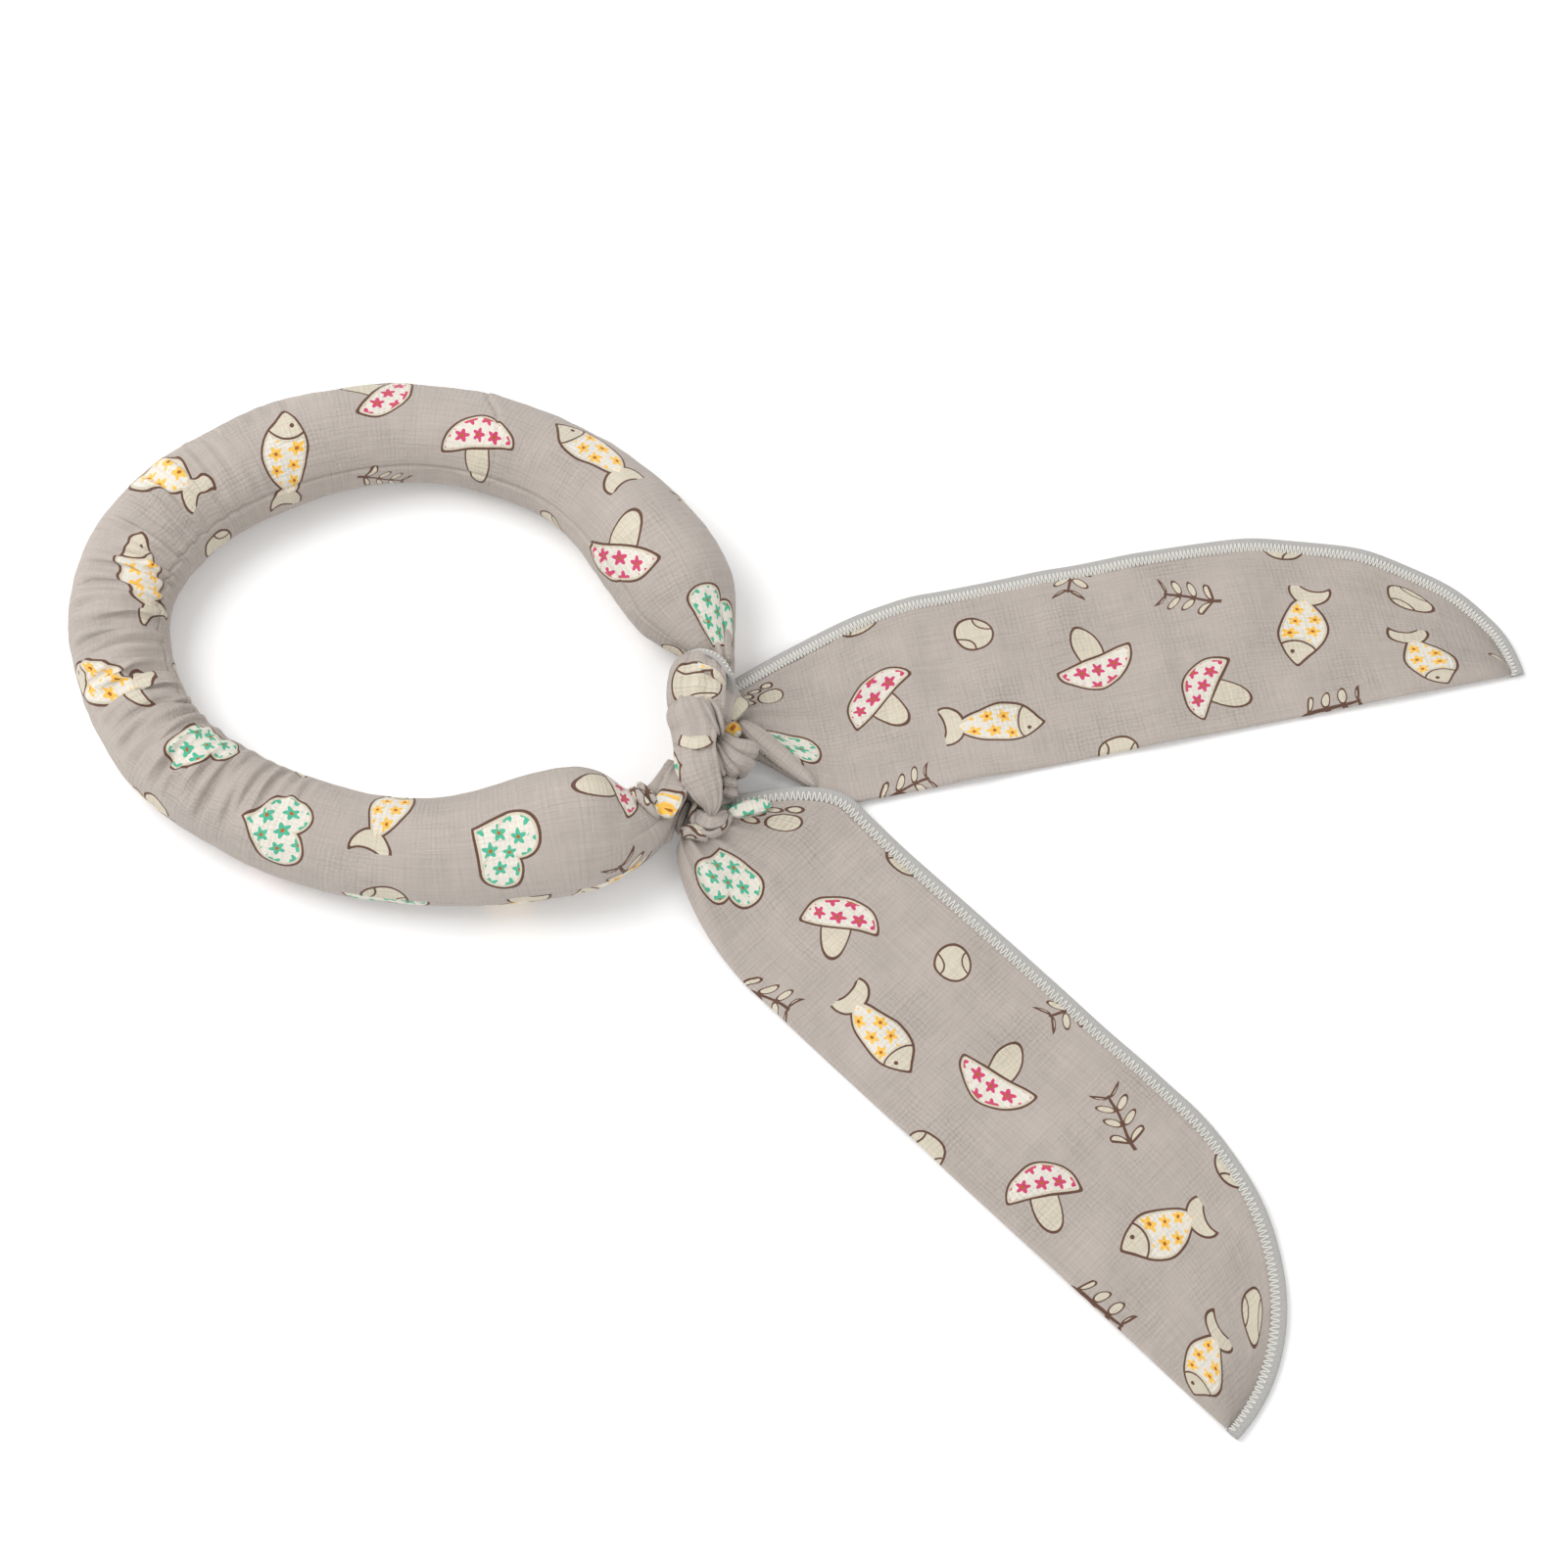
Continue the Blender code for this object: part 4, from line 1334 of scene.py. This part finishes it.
# How far on the next fold is cut, in metres of cloth, where the table gives no place.
NEXT_PLACE = (0.37, 0.11)

print(len(KNOT_FOLDS), "folds and", len(INNER_TURNS), "inner turns")

# %% One fold, and the hem over the knot
PULL_LINES = 0.018
FOLD_RELIEF = 0.10 * MM
KNOT_HEM_STATIONS = 260
# On the knot the whole band shows, so the thread goes from its inner edge nearly to its outer one.
KNOT_NEAR_TURN, KNOT_FAR_TURN = -1.0, 0.7


def cut_from(grid, flat, place):
    """A piece with its flat places moved, so that the middle of its top is at a place of the print."""
    middle = flat[flat.shape[0] // 2, flat.shape[1] // 4]
    return grid, flat - middle + np.array(place) * MM


def knot_fold(name):
    """One fold: its strand, with lines along it and a little unevenness, and a print place of its own.

    The lines are two sines round the section, five and nine to a turn, as a share of the fold's width.
    """
    rows = np.array({**KNOT_FOLDS, **INNER_TURNS}[name]) * MM
    grid, flat = strand(rows, straight_up, FLAT_FOLDS.get(name, STRAND_SQUARENESS))
    order = [*KNOT_FOLDS, *INNER_TURNS].index(name)
    turn = turns(STRAND_POINTS)
    width = rows[:, 3].max()
    lines = np.sin(5 * turn + order) + np.sin(9 * turn + 2 * order)
    relief = FOLD_RELIEF * unevenness(grid, 40 + order, 14, 4 * MM, 12 * MM)
    lift = PULL_LINES * width * lines[None, :] + relief
    grid = above_table(grid + outward_normals(grid) * lift[..., None])
    if name in PRINT_PLACES:
        return cut_from(grid, flat, PRINT_PLACES[name])
    return grid, flat + np.array(NEXT_PLACE) * order


def hem_over_knot():
    """The overlocked edge where it runs over the top of the knot: its band, and its thread."""
    rows = np.array(KNOT_HEM) * MM
    path = through(rows, KNOT_HEM_STATIONS)
    size = KNOT_HEM_WIDTH, KNOT_HEM_THICKNESS
    band = banded(path, away_from_middle(path), *size)
    stitch = TAILS["upper"]["stitch"]
    fine = through(rows, STATIONS_IN_A_STITCH * int(distance_along(path)[-1] / stitch))
    loops = zigzag(fine, away_from_middle(fine), *size, stitch, KNOT_NEAR_TURN, KNOT_FAR_TURN)
    return band, loops


hem_length = distance_along(np.array(KNOT_HEM))[-1]
print("the hem over the knot is", round(hem_length), "mm long")

# %% [markdown]
# ## Arithmetic that becomes nodes
#
# The print and the weave are drawn by arithmetic on the cloth's flat coordinates, and Blender does
# arithmetic with Math nodes. Wiring a few hundred by hand would hide the formulas, so a small class
# does the wiring: each plus or times adds one node, and the formula can be read as it stands.

# %% Fields


class Field:
    """A number that varies over a surface. Arithmetic on fields adds Math nodes to the material."""

    def __init__(self, tree, socket):
        self.tree = tree
        self.socket = socket

    def math(self, operation, *others):
        """One Math node: the operation on this field and the others, which are fields or numbers."""
        node = self.tree.nodes.new("ShaderNodeMath")
        node.operation = operation
        self.tree.links.new(self.socket, node.inputs[0])
        for place, other in zip(node.inputs[1:], others):
            if isinstance(other, Field):
                self.tree.links.new(other.socket, place)
            else:
                place.default_value = other
        return Field(self.tree, node.outputs[0])

    def __add__(self, other):
        return self.math("ADD", other)

    def __sub__(self, other):
        return self.math("SUBTRACT", other)

    def __mul__(self, other):
        return self.math("MULTIPLY", other)

    def __truediv__(self, other):
        return self.math("DIVIDE", other)

    def __neg__(self):
        return self.math("MULTIPLY", -1.0)

    def size(self):
        """The field without its sign."""
        return self.math("ABSOLUTE")

    def below(self, edge):
        """1 where the field is below the edge, and 0 elsewhere."""
        return self.math("LESS_THAN", edge)


def least(*fields):
    """The smallest of several fields: the union of shapes that are distances."""
    first = fields[0]
    for other in fields[1:]:
        first = first.math("MINIMUM", other)
    return first


def most(*fields):
    """The largest of several fields: what several shapes have in common."""
    first = fields[0]
    for other in fields[1:]:
        first = first.math("MAXIMUM", other)
    return first


def rounded(first, second, radius=0.9):
    """The larger of two fields, with the corner between them rounded off."""
    return first.math("SMOOTH_MAX", second, radius)


def distance(x, y, centre=(0, 0), squeeze=1.0):
    """Distance from a centre, with y stretched by the squeeze, so that a circle reads as an ellipse."""
    dx = x - centre[0]
    dy = (y - centre[1]) * squeeze
    return (dx * dx + dy * dy).math("SQRT")


def noise(tree, x, y, detail=2.0):
    """Blender's noise on two fields as coordinates, from 0 to 1."""
    place = tree.nodes.new("ShaderNodeCombineXYZ")
    tree.links.new(x.socket, place.inputs[0])
    tree.links.new(y.socket, place.inputs[1])
    node = tree.nodes.new("ShaderNodeTexNoise")
    node.noise_dimensions = "2D"
    node.inputs["Scale"].default_value = 1.0
    node.inputs["Detail"].default_value = detail
    tree.links.new(place.outputs[0], node.inputs["Vector"])
    return Field(tree, node.outputs[0])


def painted(tree, under, colour, where):
    """One colour laid over another where a field is 1."""
    mix = tree.nodes.new("ShaderNodeMix")
    mix.data_type = "RGBA"
    tree.links.new(where.socket, mix.inputs["Factor"])
    for place, item in ((mix.inputs[6], under), (mix.inputs[7], colour)):
        if isinstance(item, bpy.types.NodeSocket):
            tree.links.new(item, place)
        else:
            place.default_value = (*item, 1.0)
    return mix.outputs[2]


print("what a field can do by name:", ", ".join(name for name in vars(Field) if name[0] != "_"))

# %% [markdown]
# ## The print
#
# The real cloth has a playful print: cream shapes with a brown pen line, filled with little yellow,
# crimson or green flowers. The print here is a plain one of the same colours and scale, of fish,
# mushrooms, hearts, paw marks, balls and sprigs. The flat cloth is divided into squares. White noise on
# a square's number gives it a motif, a turn and a colour, and each motif is a distance formula: below
# zero is inside the shape, and near zero is its pen line. All its lengths are in millimetres of cloth.

# %% The large motifs
# A field that is this far from every line draws nothing.
FAR = 9.0


def nothing(field):
    """A field that is FAR everywhere, on the same material as another field."""
    return field * 0.0 + FAR


def fish(x, y):
    """Two crossing circles make the body and a crescent the tail. The gill is an arc of a circle."""
    body = rounded(distance(x, y, (-2, 9.5)) - 15.5, distance(x, y, (-2, -9.5)) - 15.5)
    tail = rounded(distance(x, y, (12.5, 0), 0.9) - 5.0, -(distance(x, y, (17.8, 0), 0.9) - 4.8))
    head = distance(x, y, (-13.5, 0)) - 6.5
    gill = most(head.size(), body)
    eye = distance(x, y, (-10.2, 1.2)) - 0.35
    return least(body, tail), least(gill, eye), most(body, -head)


def mushroom(x, y):
    """Half an ellipse is the cap and a narrow ellipse the stem. The inner line closes the cap."""
    cap = rounded(distance(x, y, (0, -1), 1.1) - 10.6, -(y + 1.0), 1.4)
    stem = most((distance(x * 1.9, y, (0, -3.4)) - 7.6) * 0.7, y + 1.0)
    return least(cap, stem), most((y + 1.0).size(), cap), cap


def heart(x, y):
    """Two circles mirrored about the middle, and a corner below whose sides touch them."""
    side = x.size()
    lobe = distance(side, y, (4.5, 2.6)) - 5.8
    corner = most(side * 0.629 - (y + 8.5) * 0.777, y + 1.9)
    whole = least(lobe, corner, distance(x, y, (0, -2.2)) - 4.4)
    return whole, nothing(whole), whole


print("the large motifs are", ", ".join(motif.__name__ for motif in (fish, mushroom, heart)))

# %% The small motifs and the flowers
FLOWER_PITCH = 5.0


def paw(x, y):
    """A round pad and four toes, mirrored about the middle."""
    side = x.size()
    pad = distance(x, y, (0, -2.2), 1.25) - 4.0
    toes = least(distance(side, y, (1.9, 4.0), 0.8) - 1.55, distance(side, y, (5.2, 1.8), 0.8) - 1.45)
    return least(pad, toes), nothing(pad)


def ball(x, y):
    """A round ball with a curved seam at either side."""
    whole = distance(x, y) - 5.4
    return whole, most((distance(x.size(), y, (7.4, 0)) - 4.6).size(), whole)


def sprig(x, y):
    """A stem with pairs of round leaves at even steps, mirrored about the stem."""
    side = x.size()
    step = (y - side * 0.5 + 9.0).math("WRAP", 4.6, 0.0) - 2.3
    leaf = most(distance(side, step, (2.6, 0), 1.9) - 2.2, (y - side * 0.5 + 0.2).size() - 6.9)
    stem = most(side - 0.1, (y + 0.8).size() - 8.0)
    return least(leaf, stem), nothing(leaf)


def flowers(x, y):
    """Five-petalled flowers in staggered rows: the distance from a flower's centre, less a radius
    that waves five times round it. The second field is the flower's eye."""
    half = FLOWER_PITCH / 2
    row = (y / FLOWER_PITCH).math("FLOOR")
    u = (x + row * (0.43 * FLOWER_PITCH)).math("WRAP", half, -half)
    v = (y + x * 0.11).math("WRAP", FLOWER_PITCH, 0.0) - half
    petal = (v.math("ARCTAN2", u) * 5.0).math("COSINE")
    far = distance(u, v)
    return far - (petal * 0.5 + 1.6), far - 0.5


print("the small motifs are", ", ".join(motif.__name__ for motif in (paw, ball, sprig)))

# %% The whole print
MOTIF_PITCH = 34.0
MOTIF_SIZE = 1.14
PEN = 0.32
SHIFT = 3.0
WAVER, WAVER_SCALE = 2.6, 0.08
# The squares' chances up to which a large motif is a fish, and up to which it is a mushroom.
FISH_UP_TO, MUSHROOM_UP_TO = 0.42, 0.74
GROUND = (0.445, 0.393, 0.353)
CREAM = (0.63, 0.57, 0.455)
PATCH = (0.74, 0.70, 0.62)
BROWN = (0.125, 0.062, 0.042)
FLOWER_EYE = (0.42, 0.13, 0.02)
# Columns: where a flower colour begins as a share of the squares, and the colour.
FLOWER_COLOURS = [
    (0.00, (0.90, 0.52, 0.09)),
    (0.46, (0.60, 0.06, 0.16)),
    (0.64, (0.86, 0.44, 0.05)),
    (0.80, (0.08, 0.45, 0.29)),
]


def square_numbers(tree, column, row):
    """Four random fields that are the same all over a square, from white noise on its number."""
    square = tree.nodes.new("ShaderNodeCombineXYZ")
    tree.links.new(column.socket, square.inputs[0])
    tree.links.new(row.socket, square.inputs[1])
    random = tree.nodes.new("ShaderNodeTexWhiteNoise")
    random.noise_dimensions = "2D"
    tree.links.new(square.outputs[0], random.inputs["Vector"])
    parts = tree.nodes.new("ShaderNodeSeparateColor")
    tree.links.new(random.outputs["Color"], parts.inputs[0])
    return [Field(tree, random.outputs["Value"]), *(Field(tree, parts.outputs[k]) for k in range(3))]


def flower_colour(tree, share):
    """The flowers' colour, which a ramp with sharp steps takes from its table by a random share."""
    ramp = tree.nodes.new("ShaderNodeValToRGB")
    ramp.color_ramp.interpolation = "CONSTANT"
    for k, (start, colour) in enumerate(FLOWER_COLOURS):
        stop = ramp.color_ramp.elements[k] if k < 2 else ramp.color_ramp.elements.new(start)
        stop.position = start
        stop.color = (*colour, 1.0)
    tree.links.new(share.socket, ramp.inputs[0])
    return ramp.outputs[0]


def printed(tree, x, y):
    """The cloth's colour at a flat place: the ground, and the square's motif on it.

    Every other column of squares is half a square lower. A motif's own u and v are the distances from
    its square's middle, turned by the cosine and sine of its angle. Each kind of motif is worked out
    everywhere and multiplied by 1 where it is chosen and by 0 elsewhere.
    """
    waver = (noise(tree, x * WAVER_SCALE, y * WAVER_SCALE, 0.0) - 0.5) * WAVER
    sway = (noise(tree, x * WAVER_SCALE + 40.0, y * WAVER_SCALE, 0.0) - 0.5) * WAVER
    x = x + waver
    y = y + sway
    column = (x / MOTIF_PITCH).math("FLOOR")
    y = y + column.math("WRAP", 2.0, 0.0) * (MOTIF_PITCH / 2)
    row = (y / MOTIF_PITCH).math("FLOOR")
    chance, first, second, third = square_numbers(tree, column, row)
    u = (x - (column + 0.5) * MOTIF_PITCH - (first - 0.5) * SHIFT) / MOTIF_SIZE
    v = (y - (row + 0.5) * MOTIF_PITCH - (third - 0.5) * SHIFT) / MOTIF_SIZE
    turn = second * (2 * np.pi)
    cosine = turn.math("COSINE")
    sine = turn.math("SINE")
    u, v = u * cosine + v * sine, v * cosine - u * sine
    large = (column + row).math("WRAP", 2.0, 0.0).below(0.5)
    small = -(large - 1.0)
    is_fish = chance.below(FISH_UP_TO)
    is_mushroom = chance.below(MUSHROOM_UP_TO) - is_fish
    is_heart = -(chance.below(MUSHROOM_UP_TO) - 1.0)
    large_kinds = (fish(u, v), mushroom(u, v), heart(u, v))
    small_kinds = (paw(u, v), ball(u, v), sprig(u, v))

    def chosen(kinds, k):
        """The chosen kind's field number k: its outline, its inner lines or its patch of flowers."""
        return kinds[0][k] * is_fish + kinds[1][k] * is_mushroom + kinds[2][k] * is_heart

    edge = chosen(large_kinds, 0) * large + chosen(small_kinds, 0) * small
    inner = chosen(large_kinds, 1) * large + chosen(small_kinds, 1) * small
    patch = chosen(large_kinds, 2) + small * FAR
    petals, eyes = flowers(u, v)
    inside = edge.below(0.0)
    in_patch = patch.below(-0.9)
    colour = painted(tree, GROUND, CREAM, inside)
    colour = painted(tree, colour, PATCH, in_patch)
    colour = painted(tree, colour, flower_colour(tree, first), in_patch * petals.below(0.0))
    colour = painted(tree, colour, FLOWER_EYE, in_patch * eyes.below(0.0))
    pen = most(edge.size().below(PEN), inside * inner.below(0.8 * PEN))
    return painted(tree, colour, BROWN, pen)


print("a motif has a square of", MOTIF_PITCH, "mm, and", len(FLOWER_COLOURS), "colours of flowers")

# %% [markdown]
# ## The gauze and the thread
#
# The cloth is a crinkled gauze: puffed square cells a millimetre and a half apart with thin lines
# between, stronger in some places than in others, a finer weave in them, and slubs, which are thicker
# yarns that show as faint streaks both ways. The same height field drives the bump and paints shade
# into the lines, which are its grooves. The thread's plies are soft slanting bands, in brightness and in
# bump.

# %% Materials
# The crinkle's and the weave's spacing in millimetres. Then how much the painted shade in the lines'
# grooves, the weave, the slubs and the soft patches of painted light and shade change the brightness, and
# how much the first three change the height.
CRINKLE = 1.5
WEAVE = 0.55
PAINTED_GROOVE_SHADE, WEAVE_SHADE, SLUB_SHADE, PAINTED_WRINKLE_SHADE = 0.045, 0.02, 0.24, 0.16
LINE_BUMP, WEAVE_BUMP, SLUB_BUMP = 0.45, 0.18, 0.8
BRIGHTNESS = 1.03
THREAD_COLOUR = (0.80, 0.78, 0.73)
EDGE_COLOUR = (0.43, 0.42, 0.40)


def new_material(name, roughness, sheen):
    """A cloth-like material: rough, with little gloss and some sheen."""
    material = bpy.data.materials.new(name)
    material.use_nodes = True
    shader = material.node_tree.nodes["Principled BSDF"]
    shader.inputs["Roughness"].default_value = roughness
    shader.inputs["Specular IOR Level"].default_value = 0.2
    shader.inputs["Sheen Weight"].default_value = sheen
    shader.inputs["Sheen Roughness"].default_value = 0.6
    return material, material.node_tree, shader


def flat_place(tree):
    """The two flat coordinates of the cloth, in millimetres."""
    source = tree.nodes.new("ShaderNodeUVMap")
    source.uv_map = "cloth"
    parts = tree.nodes.new("ShaderNodeSeparateXYZ")
    tree.links.new(source.outputs[0], parts.inputs[0])
    return Field(tree, parts.outputs[0]) * 1000.0, Field(tree, parts.outputs[1]) * 1000.0


def bumped(tree, shader, height, distance_mm):
    """Bump from a height field, so deep in millimetres for a height of one."""
    bump = tree.nodes.new("ShaderNodeBump")
    bump.inputs["Distance"].default_value = distance_mm * MM
    tree.links.new(height.socket, bump.inputs["Height"])
    tree.links.new(bump.outputs[0], shader.inputs["Normal"])


def shaded(tree, colour, brightness):
    """A colour times a brightness field."""
    mix = tree.nodes.new("ShaderNodeVectorMath")
    mix.operation = "SCALE"
    if isinstance(colour, bpy.types.NodeSocket):
        tree.links.new(colour, mix.inputs[0])
    else:
        mix.inputs[0].default_value = colour
    tree.links.new(brightness.socket, mix.inputs["Scale"])
    return mix.outputs[0]


def gauze():
    """The printed gauze.

    Its lines are cosines of the two coordinates, bent by noise and raised to the third power, and
    the finer weave is a product of two sines. Noise stretched along one coordinate makes the slubs.
    """
    material, tree, shader = new_material("printed_gauze", 0.88, 0.12)
    x, y = flat_place(tree)
    bend_x = (noise(tree, x * 0.30, y * 0.30) - 0.5) * 1.6
    bend_y = (noise(tree, x * 0.30 + 17.0, y * 0.30) - 0.5) * 1.6
    rows = ((x + bend_x) * (2 * np.pi / CRINKLE)).math("COSINE") * 0.5 + 0.5
    columns = ((y + bend_y) * (2 * np.pi / CRINKLE)).math("COSINE") * 0.5 + 0.5
    strength = noise(tree, x * 0.05, y * 0.05 + 9.0, 1.0) * 2.2 - 0.35
    # The lines are the crinkle's grooves: they sink in the bump and get painted shade in the colour.
    lines = (rows * rows * rows + columns * columns * columns) * strength.math("MAXIMUM", 0.25)
    fine = (x * (2 * np.pi / WEAVE)).math("SINE") * (y * (2 * np.pi / WEAVE)).math("SINE")
    slub = noise(tree, x * 0.05, y * 1.7, 3.0) + noise(tree, x * 1.7, y * 0.05, 3.0) - 1.0
    # Soft patches of painted light and shade, as of shallow wrinkles in the cloth.
    painted_wrinkle_shade = noise(tree, x * 0.06, y * 0.06, 2.0) - 0.5
    brightness = -lines * PAINTED_GROOVE_SHADE + fine * WEAVE_SHADE + slub * SLUB_SHADE + painted_wrinkle_shade * PAINTED_WRINKLE_SHADE
    colour = shaded(tree, printed(tree, x, y), brightness + BRIGHTNESS)
    tree.links.new(colour, shader.inputs["Base Color"])
    bumped(tree, shader, -lines * LINE_BUMP + fine * WEAVE_BUMP + slub * SLUB_BUMP, 0.22)
    print("gauze nodes:", len(tree.nodes))
    return material


def thread_material(name, colour, turn):
    """Thread or a thread-wrapped edge: slanting plies seen as soft bands of light and bump."""
    material, tree, shader = new_material(name, 0.75, 0.2)
    x, y = flat_place(tree)
    plies = ((x + y * 0.8) * (2 * np.pi / turn)).math("SINE")
    soft = noise(tree, x * 0.8, y * 0.8) - 0.5
    tree.links.new(shaded(tree, colour, plies * 0.07 + soft * 0.16 + 1.0), shader.inputs["Base Color"])
    bumped(tree, shader, plies, 0.06)
    return material


cloth = gauze()
thread = thread_material("overlock_thread", THREAD_COLOUR, 0.55)
wrapped_edge = thread_material("wrapped_edge", EDGE_COLOUR, 0.8)

# %% [markdown]
# ## The pieces
#
# Each surface becomes a mesh that rides on the part's one body and hides the packed solid it stands for.

# %% The roll and the tails
roll = finish_piece(cloth_mesh("stuffed_roll", *shaped_roll()), cloth, "printed_cotton", "padded_roll")
for key in ("upper", "lower"):
    tail = cloth_mesh(f"{key}_tail", *tail_surface(key))
    finish_piece(tail, cloth, "printed_cotton", f"tail_{key}")
    band = cloth_mesh(f"{key}_hem", *hem_band(key))
    finish_piece(band, wrapped_edge, "overlock_thread", f"hem_{key}")
    wraps = cloth_mesh(f"{key}_hem_wraps", *hem_thread(key))
    finish_piece(wraps, thread, "overlock_thread")

# %% The knot
knot_band = strand(in_knot_rows(BAND), away_from_middle)
finish_piece(cloth_mesh("band_over_the_knot", *knot_band), cloth, "printed_cotton", "knot_wrap")
bulge = cut_from(*strand(in_knot_rows(BULGE), straight_up), PRINT_PLACES["bulge_beside_the_band"])
finish_piece(cloth_mesh("bulge_beside_the_band", *bulge), cloth, "printed_cotton", "knot_bulge")
tuck = strand(in_knot_rows(TUCK), straight_up)
finish_piece(cloth_mesh("tuck_at_the_foot", *tuck), cloth, "printed_cotton", "knot_tuck")
knot_hem, knot_loops = hem_over_knot()
finish_piece(cloth_mesh("hem_over_the_knot", *knot_hem), wrapped_edge, "overlock_thread")
finish_piece(cloth_mesh("hem_over_the_knot_wraps", *knot_loops), thread, "overlock_thread")
for name in [*KNOT_FOLDS, *INNER_TURNS]:
    finish_piece(cloth_mesh(name, *knot_fold(name)), cloth, "printed_cotton")

# %% [markdown]
